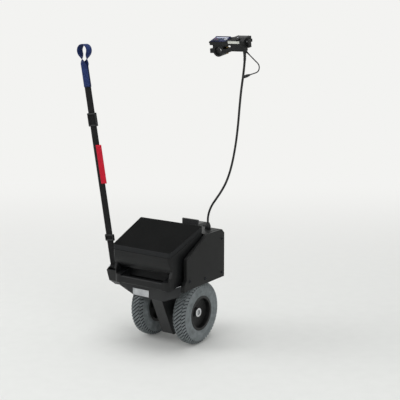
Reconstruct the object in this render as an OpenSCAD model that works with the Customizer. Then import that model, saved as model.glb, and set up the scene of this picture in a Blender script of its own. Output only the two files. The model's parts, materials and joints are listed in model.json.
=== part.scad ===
// Clip-on power assist: a two-wheeled drive unit that hangs on a cross tube, with a battery pack that
// lifts off, a control unit for a handle tube and a strap that lifts the wheels off the floor.
// +X is the user's right, +Y is forward, +Z is up, and the origin is on the cross tube's axis.
// The shapes are drawn from the floor point under the drive axle and then moved to that origin.

/* [Cross tube] */
// Radius of the cross tube that the hook takes
bar_r = 11; // [9:0.5:13]
// Height of the cross tube's axis above the floor
bar_height = 330; // [322:1:336]
// Distance of the cross tube's axis ahead of the drive axle
bar_forward = 115; // [114:1:124]

/* [Wheels] */
// Outer radius of a tyre
tyre_r = 98; // [92:1:100]
// Width of a tyre
tyre_w = 48; // [40:1:52]
// Distance between the middles of the two tyres
track = 158; // [154:1:164]
// Radius of the rim where the tyre seats
rim_r = 54; // [48:1:62]
// Radius of the drive axle
axle_r = 7.5; // [6:0.5:9]

/* [Gears] */
// Module of the output gear, the idler and the countershaft pinion
out_module = 2; // [1.8:0.1:2]
// Module of the countershaft gear and the motor pinion
in_module = 1.5; // [1.4:0.1:1.6]
// Teeth on the output gear
out_teeth = 54; // [46:1:54]
// Teeth on the idler gear
idler_teeth = 20; // [18:1:22]
// Teeth on the countershaft pinion
ctr_pinion_teeth = 14; // [13:1:16]
// Teeth on the countershaft gear
ctr_gear_teeth = 60; // [54:1:62]
// Teeth on the motor pinion
motor_teeth = 14; // [13:1:16]
// Face width of the output stage
out_face = 14; // [10:1:15]
// Face width of the motor stage
in_face = 10; // [8:1:11]
// Play between meshing teeth at the pitch circle
backlash = 0.3; // [0.2:0.05:0.5]

/* [Gear case] */
// Width of the gear case
case_w = 40; // [39:1:44]
// Wall of the gear case
case_wall = 4; // [3:0.5:5]
// Room between the gear tips and the case
gear_gap = 2.4; // [1.5:0.1:3]
// Lean of the leg's rear face from the vertical
leg_lean = 25; // [20:1:30]
// Length of the leg's straight rear face
leg_reach = 107; // [95:1:115]

/* [Motor] */
// Radius of the motor can
motor_r = 35; // [30:1:37]
// Length of the motor can
motor_l = 80; // [72:1:82]
// Wall of the motor can
can_wall = 3; // [2:0.5:4]

/* [Battery] */
// Length of the pack from front to back
batt_len = 153; // [135:1:172]
// Upright thickness of the pack
batt_h = 117; // [112:1:130]
// Width of the pack across its rear face
batt_rear_w = 210; // [206:1:220]
// Width of the pack across its front face
batt_front_w = 230; // [224:1:240]
// Slope of the pack's top and underside
batt_slope = 20; // [16:1:22]
// Height of the pack's front lower edge above the floor
batt_front_low = 258.7; // [257:0.1:262]
// Distance of the pack's front face behind the drive axle
batt_front_behind = 14; // [12:1:18]
// Wall of the battery case
batt_wall = 3; // [2:0.5:4]
// Height of the battery lid
lid_h = 14; // [10:1:16]
// Half width of the finger pocket in the rear face
pocket_half = 76; // [64:1:82]
// Radius of a cell
cell_r = 9.1; // [8:0.1:9.2]

/* [Housing] */
// Wall of the tub, the cover and the skirt
tub_wall = 4; // [3:0.5:5]
// Thickness of a side panel
panel_t = 12; // [8:1:16]
// Depth of the front cover from front to back
cover_depth = 94; // [92:1:94]
// Height of the front cover above the tub's rim
cover_h = 90; // [76:1:100]
// Depth of the skirt below the tub's floor
skirt_drop = 40; // [34:1:44]

/* [Hook] */
// Width of the frame hook
hook_w = 60; // [54:1:80]
// Thickness of the hook over the cross tube
hook_wall = 9; // [7:1:12]
// Radius of a hinge pin
pin_r = 3; // [2:0.5:4]

/* [Control unit] */
// Distance of a handle tube from the middle plane
handle_x = 220; // [200:1:240]
// Radius of the handle tube that the control clamp takes
handle_r = 11; // [9:0.5:12.5]
// Upward slope of the handle tubes towards the front
handle_tilt = 9; // [0:1:12]
// Height of the handle tube at the control clamp above the floor
ctrl_z = 896; // [880:1:910]
// Distance of the control clamp behind the drive axle
ctrl_behind = 80; // [70:1:90]
// Depth of the control case along the handle tube
ctrl_d = 40; // [36:1:44]
// Length of the control clamp along the handle tube
clamp_l = 30; // [22:1:36]

/* [Strap] */
// Width of the strap's webbing
web_w = 25; // [20:1:25]
// Thickness of the strap's webbing
web_t = 2; // [1.4:0.1:2.4]
// Radius of the grip that the hand loop goes round
grip_r = 17; // [15:0.5:20]

/* [Cords] */
// Radius of the main cable
cable_r = 3.3; // [2.5:0.1:3.6]
// Radius of the pigtail
pigtail_r = 1.6; // [1.4:0.1:2]

/* [Hidden] */
$fn = 64;

// Overrun of every cut, static fit, running fit and the gap between pieces that pass each other
cut = 1;
fit = 0.03;
run = 0.06;
slip = 0.3;

// Colours
black = "#1b1c1e";
dark_grey = "#3a3b3d";
tyre_grey = "#8d9195";
steel = "#b6b8ba";
brass = "#b08d4a";

// Gear proportions, in modules, and the points on a tooth's flank
addendum_share = 0.9;
dedendum_share = 1.15;
pressure_angle = 25;
flank_steps = 2;

// Directions of the gear centres, one from the next, from the axle up to the motor
idler_angle = 102;
ctr_angle = 55;
motor_angle = 56;

// Shafts and bearings
ctr_shaft_r = 6;
bush_r = 10;
bush_w = 8;
ctr_boss_r = 14;
ctr_boss_l = 6;
idler_pin_r = 5;
idler_boss_r = 9;
motor_shaft_r = 5;
motor_bearing_r = 11;
motor_bearing_w = 9;
bearing_r = 17.5;
bearing_w = 11;
axle_boss_r = 23;
axle_boss_l = 10;
seal_r = 13;
stage_gap = 3;
in_gap = 2;
shaft_end = 1;
shaft_gap = 1;
key_w = 5;
key_l = 18;
gear_hub_r = 14;

// Gear case
leg_r = 10;
foot_reach = 45;
axle_extra = 0.5;
motor_seat_edge = 1;
belt_steps = 36;
flange_w = 26;
flange_t = 4;
flange_l = 120;
flange_behind = 70;
flange_screw_shares = [0.12, 0.88];
screw_edge = 1;
case_screw_r = 2.5;
screw_head_r = 4.5;
screw_head_h = 3;

// Motor inner pieces
can_plate = 6;
end_cap_t = 10;
motor_room = 2;
magnet_t = 3.7;
magnet_side_share = 0.35;
air_gap = 0.8;
core_l = 48;
core_start = 16;
slot_count = 12;
slot_r = 3;
coil_l = 8;
coil_r = 20;
commutator_r = 12;
commutator_l = 6;
brush_gap = 0.5;
brush_w = 10;
brush_out_r = 27;

// Wheels
rim_wall = 8;
rim_edge = 2;
rim_web = 6;
rim_web_inset = 22;
rim_hub_r = 17;
rim_dish = 5;
hub_inset = 20;
tyre_corner_share = 0.62;
tyre_flank_share = 0.42;
tyre_steps = 9;
groove_w = 3.2;
groove_deep = 3.5;
groove_side = 8;
wheel_gap = 4;
nut_r = 9.5;
nut_h = 5.5;
cap_r = 14;
cap_h = 8;
cap_wall = 2.2;

// Battery details
batt_corner = 9;
low_corner = 20;
low_corner_share = 0.9;
batt_front_corner = 6;
ridge_round = 3;
seam_h = 1.2;
seam_in = 1.2;
pocket_drop = 10;
pocket_deep_share = 0.307;
pocket_wide = 97;
scoop_h_share = 0.56;
scoop_steps = 12;
arm_low = 27;
arm_high = 41;
arm_back = 39;
notch_low = 29;
notch_slope = 69;
grip_bar_d = 15;
grip_bar_h = 23;
grip_bar_round = 5;
cell_gap = 1.3;
cell_edge = 0.5;
cell_base = 24;
holder_t = 6;
holder_in = 3;
board_t = 1.6;
board_rise = 4;
chip_h = 6;
chip_gap = 2.4;
recess_half = 30;
recess_d = 24;
recess_h = 17.5;
ridge_half = 70;
ridge_t = 5;
ridge_h = 4;
ridge_room = 1;
ridge_ahead = 30;
contact_behind = 26;
contact_half = 26;
contact_d = 14;
contact_up = 6;
contact_down = 10;
blade_side = 12;
blade_t = 1.6;
blade_w = 8;
blade_h = 9;
socket_r = 8;
socket_rim_r = 11;
socket_l = 14;
socket_rim_t = 3;
socket_ahead = 24;
socket_up = 70;
socket_sink = 2.6;

// Housing details
cover_gap = 4;
panel_gap = 2;
panel_lip = 5;
panel_rear_h = 73;
panel_flare_h = 32;
panel_round = 9;
cover_chamfer = 12;
tub_behind = 112;
skirt_behind = 130;
skirt_flat = 55;
skirt_turn = 110;
skirt_turn_drop = 17;
skirt_corner_drop = 2;
skirt_dip_half = 82;
skirt_dip = 0;
slot_behind = 80;
slot_ahead = 66;
slot_room = 1;
post_r = 3.5;
post_h = 44;
vent_count = 7;
vent_w = 3;
vent_l = 50;
vent_pitch = 9;
plate_l = 60;
plate_h = 21;
plate_t = 1;
plate_edge = 3;
trim_t = 1.8;
control_card_l = 70;
control_card_w = 64;
control_card_x = 36;
control_card_y = 10;
capacitor_r = 8;
capacitor_h = 26;
sink_h = 22;
sink_t = 30;
gland_x = 90;
gland_behind = 34;
gland_r = 9;
gland_l = 20;
gland_neck_r = 7;
gland_neck_l = 8;

// Strap anchor, with its places measured from the side panel's rear edge and the tub's floor
anchor_w = 35;
anchor_wall = 4;
anchor_tip_back = 11;
anchor_tip_up = 23;
anchor_top_up = 49;
anchor_front = 33;
anchor_low_down = 12;
anchor_toe_down = 32;
anchor_toe_front = 4;
anchor_slot_back = 8;
anchor_slot_front = 22;
anchor_slot_up = 20;
anchor_pin_r = 4;
anchor_pin_front = 4;
anchor_pin_up = 32;

// Hook details
hook_plate_t = 6;
hook_plate_up = 34;
hook_plate_down = 30;
hook_leg_down = 12;
hook_front_t = 10;
hook_front_down = 9;
hook_round = 7;
knuckle_r = 6;
knuckle_l = 10;
gate_pin_ahead = 17.5;
gate_pin_down = 17;
gate_t = 6;
gate_tip_back = 18;
gate_tab = 8;
gate_tab_t = 4;

// Control unit, in its own frame: across, along the tube, up from the tube's axis
clamp_wall = 5;
ear_half = 26;
ear_h = 6;
bolt_side = 20;
bolt_r = 2;
bolt_head_r = 4;
bolt_head_h = 3.5;
deck_left = 26;
deck_right = 88;
deck_low = 16.5;
deck_high = 22;
deck_round = 8;
deep_left = 45;
deep_right = 88;
deep_d = 18;
deep_low = 1;
ctrl_wall = 2.5;
wedge_left = 24;
wedge_right = 32;
wedge_rear_up = 4;
wedge_front_up = 10.5;
wedge_flat = 6;
box_left = 46;
box_up = 15;
box_slope_in = 12;
box_slope_down = 8;
fascia_t = 1.5;
fascia_edge = 3;
fascia_l = 30;
display_left = 38;
display_w = 36;
display_h = 6.5;
display_t = 1;
display_low = 22;
ctrl_board_t = 1.6;
dial_r = 6;
dial_h = 4;
dial_flutes = 12;
dial_flute_r = 0.9;
dial_post_r = 2;
dial_post_l = 4;
dial_x = 67;
button_r = 5;
button_h = 5;
button_proud = 1.5;
button_x = 22;
lever_gap = 2;
lever_t = 5;
lever_half = 7;
lever_len = 18;
lever_pin_in = 4.5;
lever_pin_down = 10;
lever_hub_r = 4;
lever_pin_r = 2;
lever_ear = 4;

// Strap details
loop_drop = 46;
loop_top_behind = 143;
loop_top_z = 887;
tail_l = 62;
loop_steps = 6;
slider_w = 33;
slider_l = 40;
slider_t = 8;
slider_at_share = 0.26;
buckle_l = 20;
buckle_at_share = 0.85;
tab_w = 16;
tab_l = 118;
tab_t = 1.6;
tab_shift = 7;
tab_at_share = 0.385;

// Cord routes, in the drawing frame, the way their first facet faces, and the sides and steps of their tubes
cable_route = [[90, 50, 370], [91, 50, 388], [96, 50, 407], [107, 48, 427], [124, 44, 448], [145, 38, 473],
    [168, 29, 504], [190, 17, 542], [210, 3, 586], [229, -13, 636], [246, -30, 688], [261, -47, 738],
    [275, -62, 784], [287.5, -73.5, 822], [297.5, -83.5, 853], [303.3, -90.2, 878], [304, -92.9, 894.7]];
pigtail_route = [[303.5, -85, 894.8], [309.7, -85, 889.7], [315.8, -85, 884.6], [322, -85, 879.4],
    [328.1, -85, 874.3], [334.3, -85, 869.2], [340.5, -85, 864.1], [344.4, -85, 859.1], [345.9, -85, 852.9],
    [344.7, -85, 846.7], [341.1, -85, 841.5], [335.6, -85, 838.3], [328.9, -85, 836.1], [322.3, -85, 834],
    [316.1, -85, 831.9]];
cord_side = [1, 0, 0.2];
cable_sides = 10;
pigtail_sides = 8;
cable_steps = 3;
pigtail_steps = 2;
relief_r_share = 1.7;
plug_r = 4.2;
plug_l = 13;
plug_neck_l = 6;

// Derived places, as [y, z] pairs in the side view
out_r = out_module * out_teeth / 2;
idler_r = out_module * idler_teeth / 2;
ctr_pinion_r = out_module * ctr_pinion_teeth / 2;
ctr_gear_r = in_module * ctr_gear_teeth / 2;
motor_pinion_r = in_module * motor_teeth / 2;
out_tip = out_r + addendum_share * out_module;
ctr_tip = ctr_gear_r + addendum_share * in_module;
motor_tip = motor_pinion_r + addendum_share * in_module;
axle_c = [0, tyre_r];
idler_c = axle_c + (out_r + idler_r) * dir(idler_angle);
ctr_c = idler_c + (idler_r + ctr_pinion_r) * dir(ctr_angle);
motor_c = ctr_c + (ctr_gear_r + motor_pinion_r) * dir(motor_angle);
out_phase = 0;
idler_phase = mesh(out_phase, idler_angle, out_teeth, idler_teeth);
ctr_pinion_phase = mesh(idler_phase, ctr_angle, idler_teeth, ctr_pinion_teeth);
ctr_gear_phase = 0;
motor_phase = mesh(ctr_gear_phase, motor_angle, ctr_gear_teeth, motor_teeth);
case_half = case_w / 2;
room_half = case_half - case_wall;
in_end = room_half - in_gap;
in_start = in_end - in_face;
out_end = in_start - stage_gap;
out_start = out_end - out_face;
case_axle_r = out_tip + gear_gap + case_wall + axle_extra;
case_ctr_r = ctr_tip + gear_gap + case_wall;
motor_seat_r = motor_r + motor_seat_edge;
leg_c = axle_c - (case_axle_r - leg_r) * dir(leg_lean) + leg_reach * [-sin(leg_lean), cos(leg_lean)];
foot_c = leg_c - (leg_reach + foot_reach) * [-sin(leg_lean), cos(leg_lean)];
motor_start = case_half;
motor_end = motor_start + motor_l;
wheel_x = track / 2;
hub_end = wheel_x + tyre_w / 2 - hub_inset;
wheel_key_x = wheel_x - (hub_inset - rim_edge) / 2;
axle_half = hub_end + nut_h;
floor_z = 2 * tyre_r + wheel_gap;
batt_front = -batt_front_behind;
batt_back = batt_front - batt_len;
batt_low = saddle(batt_back);
pocket_top = batt_h - lid_h - pocket_drop;
pocket_deep = batt_len * pocket_deep_share;
cell_pitch = 2 * cell_r + cell_gap;
cell_l = batt_h - lid_h - cell_base - board_rise - board_t - chip_h - chip_gap;
cell_rows = floor((batt_len - pocket_deep - 2 * batt_wall) / cell_pitch);
cell_columns = floor((min(batt_rear_w, batt_front_w) - 2 * batt_wall) / cell_pitch);
cover_back = batt_front + cover_gap;
cover_front = cover_back + cover_depth;
tub_back = -tub_behind;
skirt_back = -skirt_behind;
panel_back = tub_back - panel_lip;
tub_half = max(batt_front_w / 2 + panel_gap, motor_end + end_cap_t + motor_room + tub_wall);
rim_z = saddle(cover_back);
cover_top = rim_z + cover_h;
bar_c = [bar_forward, bar_height];
gate_c = bar_c + [gate_pin_ahead, -gate_pin_down];
scoop_h = pocket_top * scoop_h_share;
ridge_y = tub_back + ridge_ahead;
contact_y = batt_front - contact_behind;
socket_c = [batt_back + socket_ahead, batt_low + socket_up];
anchor_x = -tub_half - panel_t;
anchor_mid = anchor_x - anchor_w / 2;
anchor_c = [panel_back + anchor_pin_front, floor_z + anchor_pin_up];
ctrl_o = [handle_x, -ctrl_behind, ctrl_z];
lever_c = [deck_right + lever_pin_in, deck_high + box_up - lever_pin_down];
loop_o = [-handle_x, -loop_top_behind, loop_top_z];
strap_top = loop_o + [0, 0, -loop_drop];
strap_end = [anchor_mid, anchor_c[0], anchor_c[1]];
strap_run = strap_end - strap_top;
strap_l = norm(strap_run);
strap_way = strap_run / strap_l;
strap_across = square_to([1, 0, 0], strap_way);
strap_off = cross(strap_way, strap_across);

function dir(a) = [cos(a), sin(a)];
function saddle(y) = batt_front_low + (y - batt_front) * tan(batt_slope);
function flank(y) = (batt_rear_w + (batt_front_w - batt_rear_w) * (y - batt_back) / batt_len) / 2;
function mesh(phase, angle, teeth, next) = angle + 180 - 180 / next - (phase - angle) * teeth / next;
function unit(v) = v / norm(v);
function short_turn(a) = a > 180 ? a - 360 : a < -180 ? a + 360 : a;

// A corner at b between a and c, rounded to radius r, as the points of its arc
function corner(a, b, c, r, steps) =
    let (u = unit(a - b), v = unit(c - b), half = acos(max(-1, min(1, u * v))) / 2)
    let (o = b + unit(u + v) * r / sin(half), s = b + u * r / tan(half) - o, e = b + v * r / tan(half) - o)
    let (from = atan2(s[1], s[0]), sweep = short_turn(atan2(e[1], e[0]) - from))
    [for (i = [0:steps]) o + r * dir(from + sweep * i / steps)];

// An outline whose corners are rounded, each to its own radius
function rounded(pts, radii, steps = 5) =
    let (n = len(pts))
    [for (i = [0:n - 1])
        let (before = pts[(i + n - 1) % n], after = pts[(i + 1) % n])
        each radii[i] > 0 ? corner(before, pts[i], after, radii[i], steps) : [pts[i]]];

// Angle round the centre of an involute at radius r on base radius rb
function involute(rb, r) =
    let (roll = sqrt(max(0, pow(r / rb, 2) - 1)) * 180 / PI)
    roll - atan(roll * PI / 180);

// Half the angle that a tooth takes at radius r
function tooth_half(m, n, r) =
    let (rp = m * n / 2, rb = rp * cos(pressure_angle))
    90 / n - backlash / 4 / rp * 180 / PI + involute(rb, rp) - involute(rb, max(r, rb));

// Points of a smooth curve through a route, and a frame of normals carried along it
function spline(p, i, t) =
    let (n = len(p), a = p[max(0, i - 1)], b = p[i], c = p[i + 1], d = p[min(n - 1, i + 2)])
    b + (c - a) * t / 2 + (2 * a - 5 * b + 4 * c - d) * t * t / 2 + (3 * b - a - 3 * c + d) * t * t * t / 2;
function curve(p, steps) =
    [for (i = [0:len(p) - 2]) for (k = [0:steps - 1]) spline(p, i, k / steps), p[len(p) - 1]];
function heading(c, i) = unit(c[min(len(c) - 1, i + 1)] - c[max(0, i - 1)]);
function square_to(n, t) = unit(n - (n * t) * t);
function normals(c) =
    [for (i = 0, n = square_to(cord_side, heading(c, 0)); i < len(c);
        i = i + 1, n = square_to(n, heading(c, min(i, len(c) - 1)))) n];

module at_bar() translate([0, -bar_forward, -bar_height]) children();
module along_x(x, c) translate([x, c[0], c[1]]) rotate([90, 0, 90]) children();
module rod_x(x, c, r, l) along_x(x, c) cylinder(r = r, h = l);
module ring_x(x, c, r_out, r_in, l) {
    along_x(x, c) difference() {
        cylinder(r = r_out, h = l);
        translate([0, 0, -cut]) cylinder(r = r_in, h = l + 2 * cut);
    }
}
module side_plate(x, l) translate([x, 0, 0]) rotate([90, 0, 90]) linear_extrude(l) children();
module rear_plate(y, t) translate([0, y + t, 0]) rotate([90, 0, 0]) linear_extrude(t) children();
module both_sides() {
    children();
    mirror([1, 0, 0]) children();
}
module span(low, high) translate(low) cube(high - low);

// Outline of two circles and the belt round them
module belt(c1, r1, c2, r2) {
    a = atan2((c2 - c1)[1], (c2 - c1)[0]);
    b = acos((r1 - r2) / norm(c2 - c1));
    polygon(concat([for (i = [0:belt_steps]) c1 + r1 * dir(a + b + (360 - 2 * b) * i / belt_steps)],
        [for (i = [0:belt_steps]) c2 + r2 * dir(a - b + 2 * b * i / belt_steps)]));
}

// The skin over a row of rings that all have the same number of sides
module skin(points, sides) {
    last = len(points) - sides;
    walls = [for (i = [0:sides:last - sides]) for (k = [0:sides - 1])
        let (q = (k + 1) % sides, next = i + sides)
        each [[i + k, next + k, i + q], [i + q, next + k, next + q]]];
    ends = [for (k = [1:sides - 2]) each [[0, k, k + 1], [last, last + k + 1, last + k]]];
    polyhedron(points, concat(walls, ends), convexity = 6);
}

// A tube swept along a route
module cord(route, r, sides, steps) {
    c = curve(route, steps);
    n = normals(c);
    skin([for (i = [0:len(c) - 1]) for (k = [0:sides - 1])
        let (a = 360 * k / sides) c[i] + r * (cos(a) * n[i] + sin(a) * cross(heading(c, i), n[i]))], sides);
}

// Gears
module gear_outline(m, n, phase) {
    rp = m * n / 2;
    root = rp - dedendum_share * m;
    tip = rp + addendum_share * m;
    polygon([for (k = [0:n - 1]) for (s = [-1, 1]) for (i = [0:flank_steps])
        let (r = root + (tip - root) * (s < 0 ? i : flank_steps - i) / flank_steps)
        r * dir(phase + 360 * k / n + s * tooth_half(m, n, r))]);
}
module gear(x, c, m, n, phase, face) along_x(x, c) linear_extrude(face) gear_outline(m, n, phase);
module axle_key(x, grow) {
    translate([x - key_l / 2, -key_w / 2 - grow, axle_c[1] + axle_r - key_w / 2 - grow])
        cube([key_l, key_w + 2 * grow, key_w + 2 * grow]);
}
module output_gear() {
    color(steel) difference() {
        union() {
            gear(out_start, axle_c, out_module, out_teeth, out_phase, out_face);
            rod_x(out_start, axle_c, gear_hub_r, in_end - out_start);
        }
        rod_x(out_start - cut, axle_c, axle_r + fit, case_w);
        axle_key(0, fit);
    }
}
module idler_gear() {
    color(steel) difference() {
        gear(out_start, idler_c, out_module, idler_teeth, idler_phase, out_face);
        rod_x(out_start - cut, idler_c, idler_pin_r + run, out_face + 2 * cut);
    }
}
module countershaft() {
    color(steel) union() {
        rod_x(-room_half - bush_w, ctr_c, ctr_shaft_r, 2 * (room_half + bush_w));
        gear(out_start, ctr_c, out_module, ctr_pinion_teeth, ctr_pinion_phase, out_face);
    }
}
module countershaft_gear() {
    color(steel) difference() {
        gear(in_start, ctr_c, in_module, ctr_gear_teeth, ctr_gear_phase, in_face);
        rod_x(in_start - cut, ctr_c, ctr_shaft_r + fit, in_face + 2 * cut);
    }
}
module motor_shaft() {
    color(steel) union() {
        rod_x(in_start - shaft_end, motor_c, motor_shaft_r, motor_end + motor_bearing_w - in_start);
        gear(in_start, motor_c, in_module, motor_teeth, motor_phase, in_face);
    }
}

// Gear case: two halves that meet on the middle plane, with a leg down the back
module case_outline() {
    belt(axle_c, case_axle_r, ctr_c, case_ctr_r);
    belt(ctr_c, case_ctr_r - cut, motor_c, motor_seat_r);
    belt(axle_c, case_axle_r - cut, leg_c, leg_r);
    belt(ctr_c, case_ctr_r - 2 * cut, leg_c, leg_r - cut);
    belt(leg_c, leg_r + cut, foot_c, leg_r + 2 * cut);
}
module case_room() {
    belt(axle_c, out_tip + gear_gap, ctr_c, ctr_tip + gear_gap);
    translate(motor_c) circle(motor_tip + gear_gap);
}
function flange_screw_x() = case_half + flange_w - screw_head_r - screw_edge;
function flange_screw_ys() = [for (s = flange_screw_shares) s * flange_l - flange_behind];
module case_side() {
    difference() {
        union() {
            side_plate(0, case_half) case_outline();
            rod_x(case_half - cut, axle_c, axle_boss_r, axle_boss_l + cut);
            rod_x(case_half - cut, ctr_c, ctr_boss_r, ctr_boss_l + cut);
            span([case_half - cut, -flange_behind, floor_z - flange_t],
                [case_half + flange_w, flange_l - flange_behind, floor_z]);
        }
        side_plate(-cut, room_half + cut) case_room();
        rod_x(-cut, axle_c, bearing_r + fit, room_half + bearing_w + cut);
        rod_x(-cut, axle_c, seal_r + fit, case_w);
        rod_x(-cut, ctr_c, bush_r + fit, room_half + bush_w + cut);
        for (y = flange_screw_ys())
            translate([flange_screw_x(), y, floor_z - flange_t - cut])
                cylinder(r = case_screw_r + fit, h = flange_t + 2 * cut);
    }
}
module gear_case_right() {
    color(dark_grey) difference() {
        case_side();
        rod_x(-cut, motor_c, motor_bearing_r + case_wall + fit, case_w);
    }
}
module gear_case_left() {
    color(dark_grey) difference() {
        union() {
            mirror([1, 0, 0]) case_side();
            rod_x(cut - case_half, idler_c, idler_boss_r, case_half - cut + out_start - slip);
        }
        rod_x(-case_half - cut, idler_c, idler_pin_r + fit, case_w);
    }
}
module bearings() {
    color(steel) union() {
        both_sides() {
            ring_x(room_half, axle_c, bearing_r, axle_r + run, bearing_w);
            ring_x(room_half, ctr_c, bush_r, ctr_shaft_r + run, bush_w);
        }
        ring_x(motor_start - case_wall, motor_c, motor_bearing_r, motor_shaft_r + run, motor_bearing_w);
        ring_x(motor_end, motor_c, motor_bearing_r, motor_shaft_r + run, motor_bearing_w);
    }
}
module axle_seals() {
    color(black) both_sides()
        ring_x(room_half + bearing_w, axle_c, seal_r, axle_r + run, case_wall + axle_boss_l - bearing_w);
}

// Motor
module motor_can() {
    can_in = motor_r - can_wall;
    color(black) difference() {
        union() {
            rod_x(motor_start, motor_c, motor_r, motor_l);
            rod_x(motor_start - case_wall, motor_c, motor_bearing_r + case_wall, case_wall + cut);
        }
        rod_x(motor_start + can_plate, motor_c, can_in, motor_l);
        rod_x(motor_start - case_wall - cut, motor_c, motor_bearing_r + fit, motor_bearing_w + cut);
        rod_x(motor_start, motor_c, motor_shaft_r + shaft_gap, motor_l);
    }
}
module motor_end_cap() {
    color(dark_grey) difference() {
        rod_x(motor_end, motor_c, motor_r, end_cap_t);
        rod_x(motor_end - cut, motor_c, motor_bearing_r + fit, motor_bearing_w + cut);
    }
}
module motor_magnets() {
    magnet_out = motor_r - can_wall - fit;
    gap_half = motor_r * magnet_side_share;
    color("#4a4a4c") difference() {
        ring_x(motor_start + core_start, motor_c, magnet_out, magnet_out - magnet_t, core_l);
        translate([motor_start, motor_c[0] - gap_half, motor_c[1] - motor_r])
            cube([motor_l, 2 * gap_half, 2 * motor_r]);
    }
}
module armature() {
    core_r = motor_r - can_wall - magnet_t - air_gap;
    core_x = motor_start + core_start;
    color("#8a5a36") difference() {
        union() {
            rod_x(core_x, motor_c, core_r, core_l);
            rod_x(core_x - coil_l, motor_c, coil_r, core_l + 2 * coil_l);
            rod_x(core_x, motor_c, commutator_r, core_l + coil_l + commutator_l);
        }
        for (k = [0:slot_count - 1])
            rod_x(core_x - cut, motor_c + core_r * dir(360 * k / slot_count), slot_r, core_l + 2 * cut);
        rod_x(core_x - coil_l - cut, motor_c, motor_shaft_r + fit, motor_l);
    }
}
module brush_gear() {
    brush_x = motor_start + core_start + core_l + coil_l + brush_gap;
    color(brass) for (s = [0, 180])
        along_x(brush_x, motor_c) rotate(s) translate([commutator_r + slip, -brush_w / 2, 0])
            cube([brush_out_r - commutator_r, brush_w, motor_end - brush_x]);
}

// Axle and wheels
module axle() {
    color(steel) difference() {
        rod_x(-axle_half, axle_c, axle_r, 2 * axle_half);
        axle_key(0, fit);
        both_sides() axle_key(wheel_key_x, fit);
    }
}
module axle_keys() {
    color(steel) union() {
        axle_key(0, 0);
        both_sides() axle_key(wheel_key_x, 0);
    }
}
// The outline of a rim's half section, as [radius, distance outward from the wheel's middle]
module rim_section() {
    half = tyre_w / 2;
    edge = half - rim_edge;
    web_in = half - rim_web_inset - rim_web;
    web_out = web_in + rim_web;
    bed = rim_r - rim_wall;
    polygon([[axle_r + fit, -edge], [rim_hub_r, -edge], [rim_hub_r, web_in], [bed, web_in + rim_dish],
        [bed, -edge], [rim_r, -edge], [rim_r, edge], [bed, edge], [bed, web_out + rim_dish],
        [rim_hub_r, web_out], [rim_hub_r, half - hub_inset], [axle_r + fit, half - hub_inset]]);
}
module rim_right() {
    color(black) difference() {
        along_x(wheel_x, axle_c) rotate_extrude() rim_section();
        axle_key(wheel_key_x, fit);
    }
}
module rim_left() mirror([1, 0, 0]) rim_right();
module tyre_section() {
    half = tyre_w / 2;
    deep = tyre_r - rim_r - fit;
    side = [for (i = [0:tyre_steps])
        let (a = 90 * i / tyre_steps)
        [rim_r + fit + deep * pow(sin(a), tyre_flank_share), half * pow(cos(a), tyre_corner_share)]];
    polygon(concat(side, [for (i = [tyre_steps - 1:-1:0]) [side[i][0], -side[i][1]]]));
}
module tyre_right() {
    color(tyre_grey) along_x(wheel_x, axle_c) rotate_extrude() difference() {
        tyre_section();
        for (s = [-1, 1])
            translate([tyre_r - groove_deep, s * groove_side - groove_w / 2])
                square([groove_deep + cut, groove_w]);
    }
}
module tyre_left() mirror([1, 0, 0]) tyre_right();
module axle_nuts() {
    color(steel) both_sides() along_x(hub_end, axle_c) difference() {
        cylinder(r = nut_r, h = nut_h, $fn = 6);
        translate([0, 0, -cut]) cylinder(r = axle_r + fit, h = nut_h + 2 * cut);
    }
}
module hub_caps() {
    color(steel) both_sides() along_x(hub_end, axle_c) difference() {
        cylinder(r = cap_r, h = cap_h);
        translate([0, 0, -cut]) cylinder(r = cap_r - cap_wall, h = cap_h - cap_wall + cut);
        cylinder(r = axle_r, h = cap_h + cut);
    }
}

// Housing
module tub_outline(inset) {
    sink = inset / cos(batt_slope);
    top = rim_z + (inset > 0 ? cut : 0);
    back = tub_back + inset;
    middle = cover_back + inset;
    front = cover_front - inset;
    polygon([[back, floor_z + inset], [front, floor_z + inset], [front, top], [middle, top],
        [middle, saddle(middle) - sink], [back, saddle(back) - sink]]);
}
function card_post(i, j) = [-control_card_x - post_r - i * (control_card_l - 2 * post_r),
    control_card_y + post_r + j * (control_card_w - 2 * post_r)];
module base_tub() {
    slot_half = case_half + ctr_boss_l + slot_room;
    color(black) difference() {
        union() {
            difference() {
                side_plate(-tub_half, 2 * tub_half) tub_outline(0);
                side_plate(-tub_half + tub_wall, 2 * (tub_half - tub_wall)) tub_outline(tub_wall);
            }
            for (i = [0, 1]) for (j = [0, 1])
                translate([card_post(i, j)[0], card_post(i, j)[1], floor_z + tub_wall - cut])
                    cylinder(r = post_r, h = post_h + cut);
            side_plate(-ridge_half, 2 * ridge_half)
                polygon([[ridge_y - ridge_t / 2, saddle(ridge_y - ridge_t) - tub_wall / 2],
                    [ridge_y + ridge_t / 2, saddle(ridge_y + ridge_t) - tub_wall / 2],
                    [ridge_y + ridge_t / 2, saddle(ridge_y) + ridge_h],
                    [ridge_y - ridge_t / 2, saddle(ridge_y) + ridge_h]]);
        }
        span([-slot_half, -slot_behind, floor_z - cut], [slot_half, slot_ahead, floor_z + tub_wall + cut]);
        span([-contact_half - fit, contact_y - contact_d / 2 - fit, floor_z + 2 * tub_wall],
            [contact_half + fit, contact_y + contact_d / 2 + fit, saddle(contact_y) + contact_d]);
        for (y = flange_screw_ys()) both_sides()
            translate([flange_screw_x(), y, floor_z - cut])
                cylinder(r = case_screw_r + fit, h = tub_wall + 2 * cut);
    }
}
module cover_outline(inset, drop) {
    polygon([[cover_back + inset, rim_z - drop], [cover_front - inset, rim_z - drop],
        [cover_front - inset, cover_top - cover_chamfer - inset / 2],
        [cover_front - cover_chamfer - inset / 2, cover_top - inset],
        [cover_back + inset, cover_top - inset]]);
}
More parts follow.
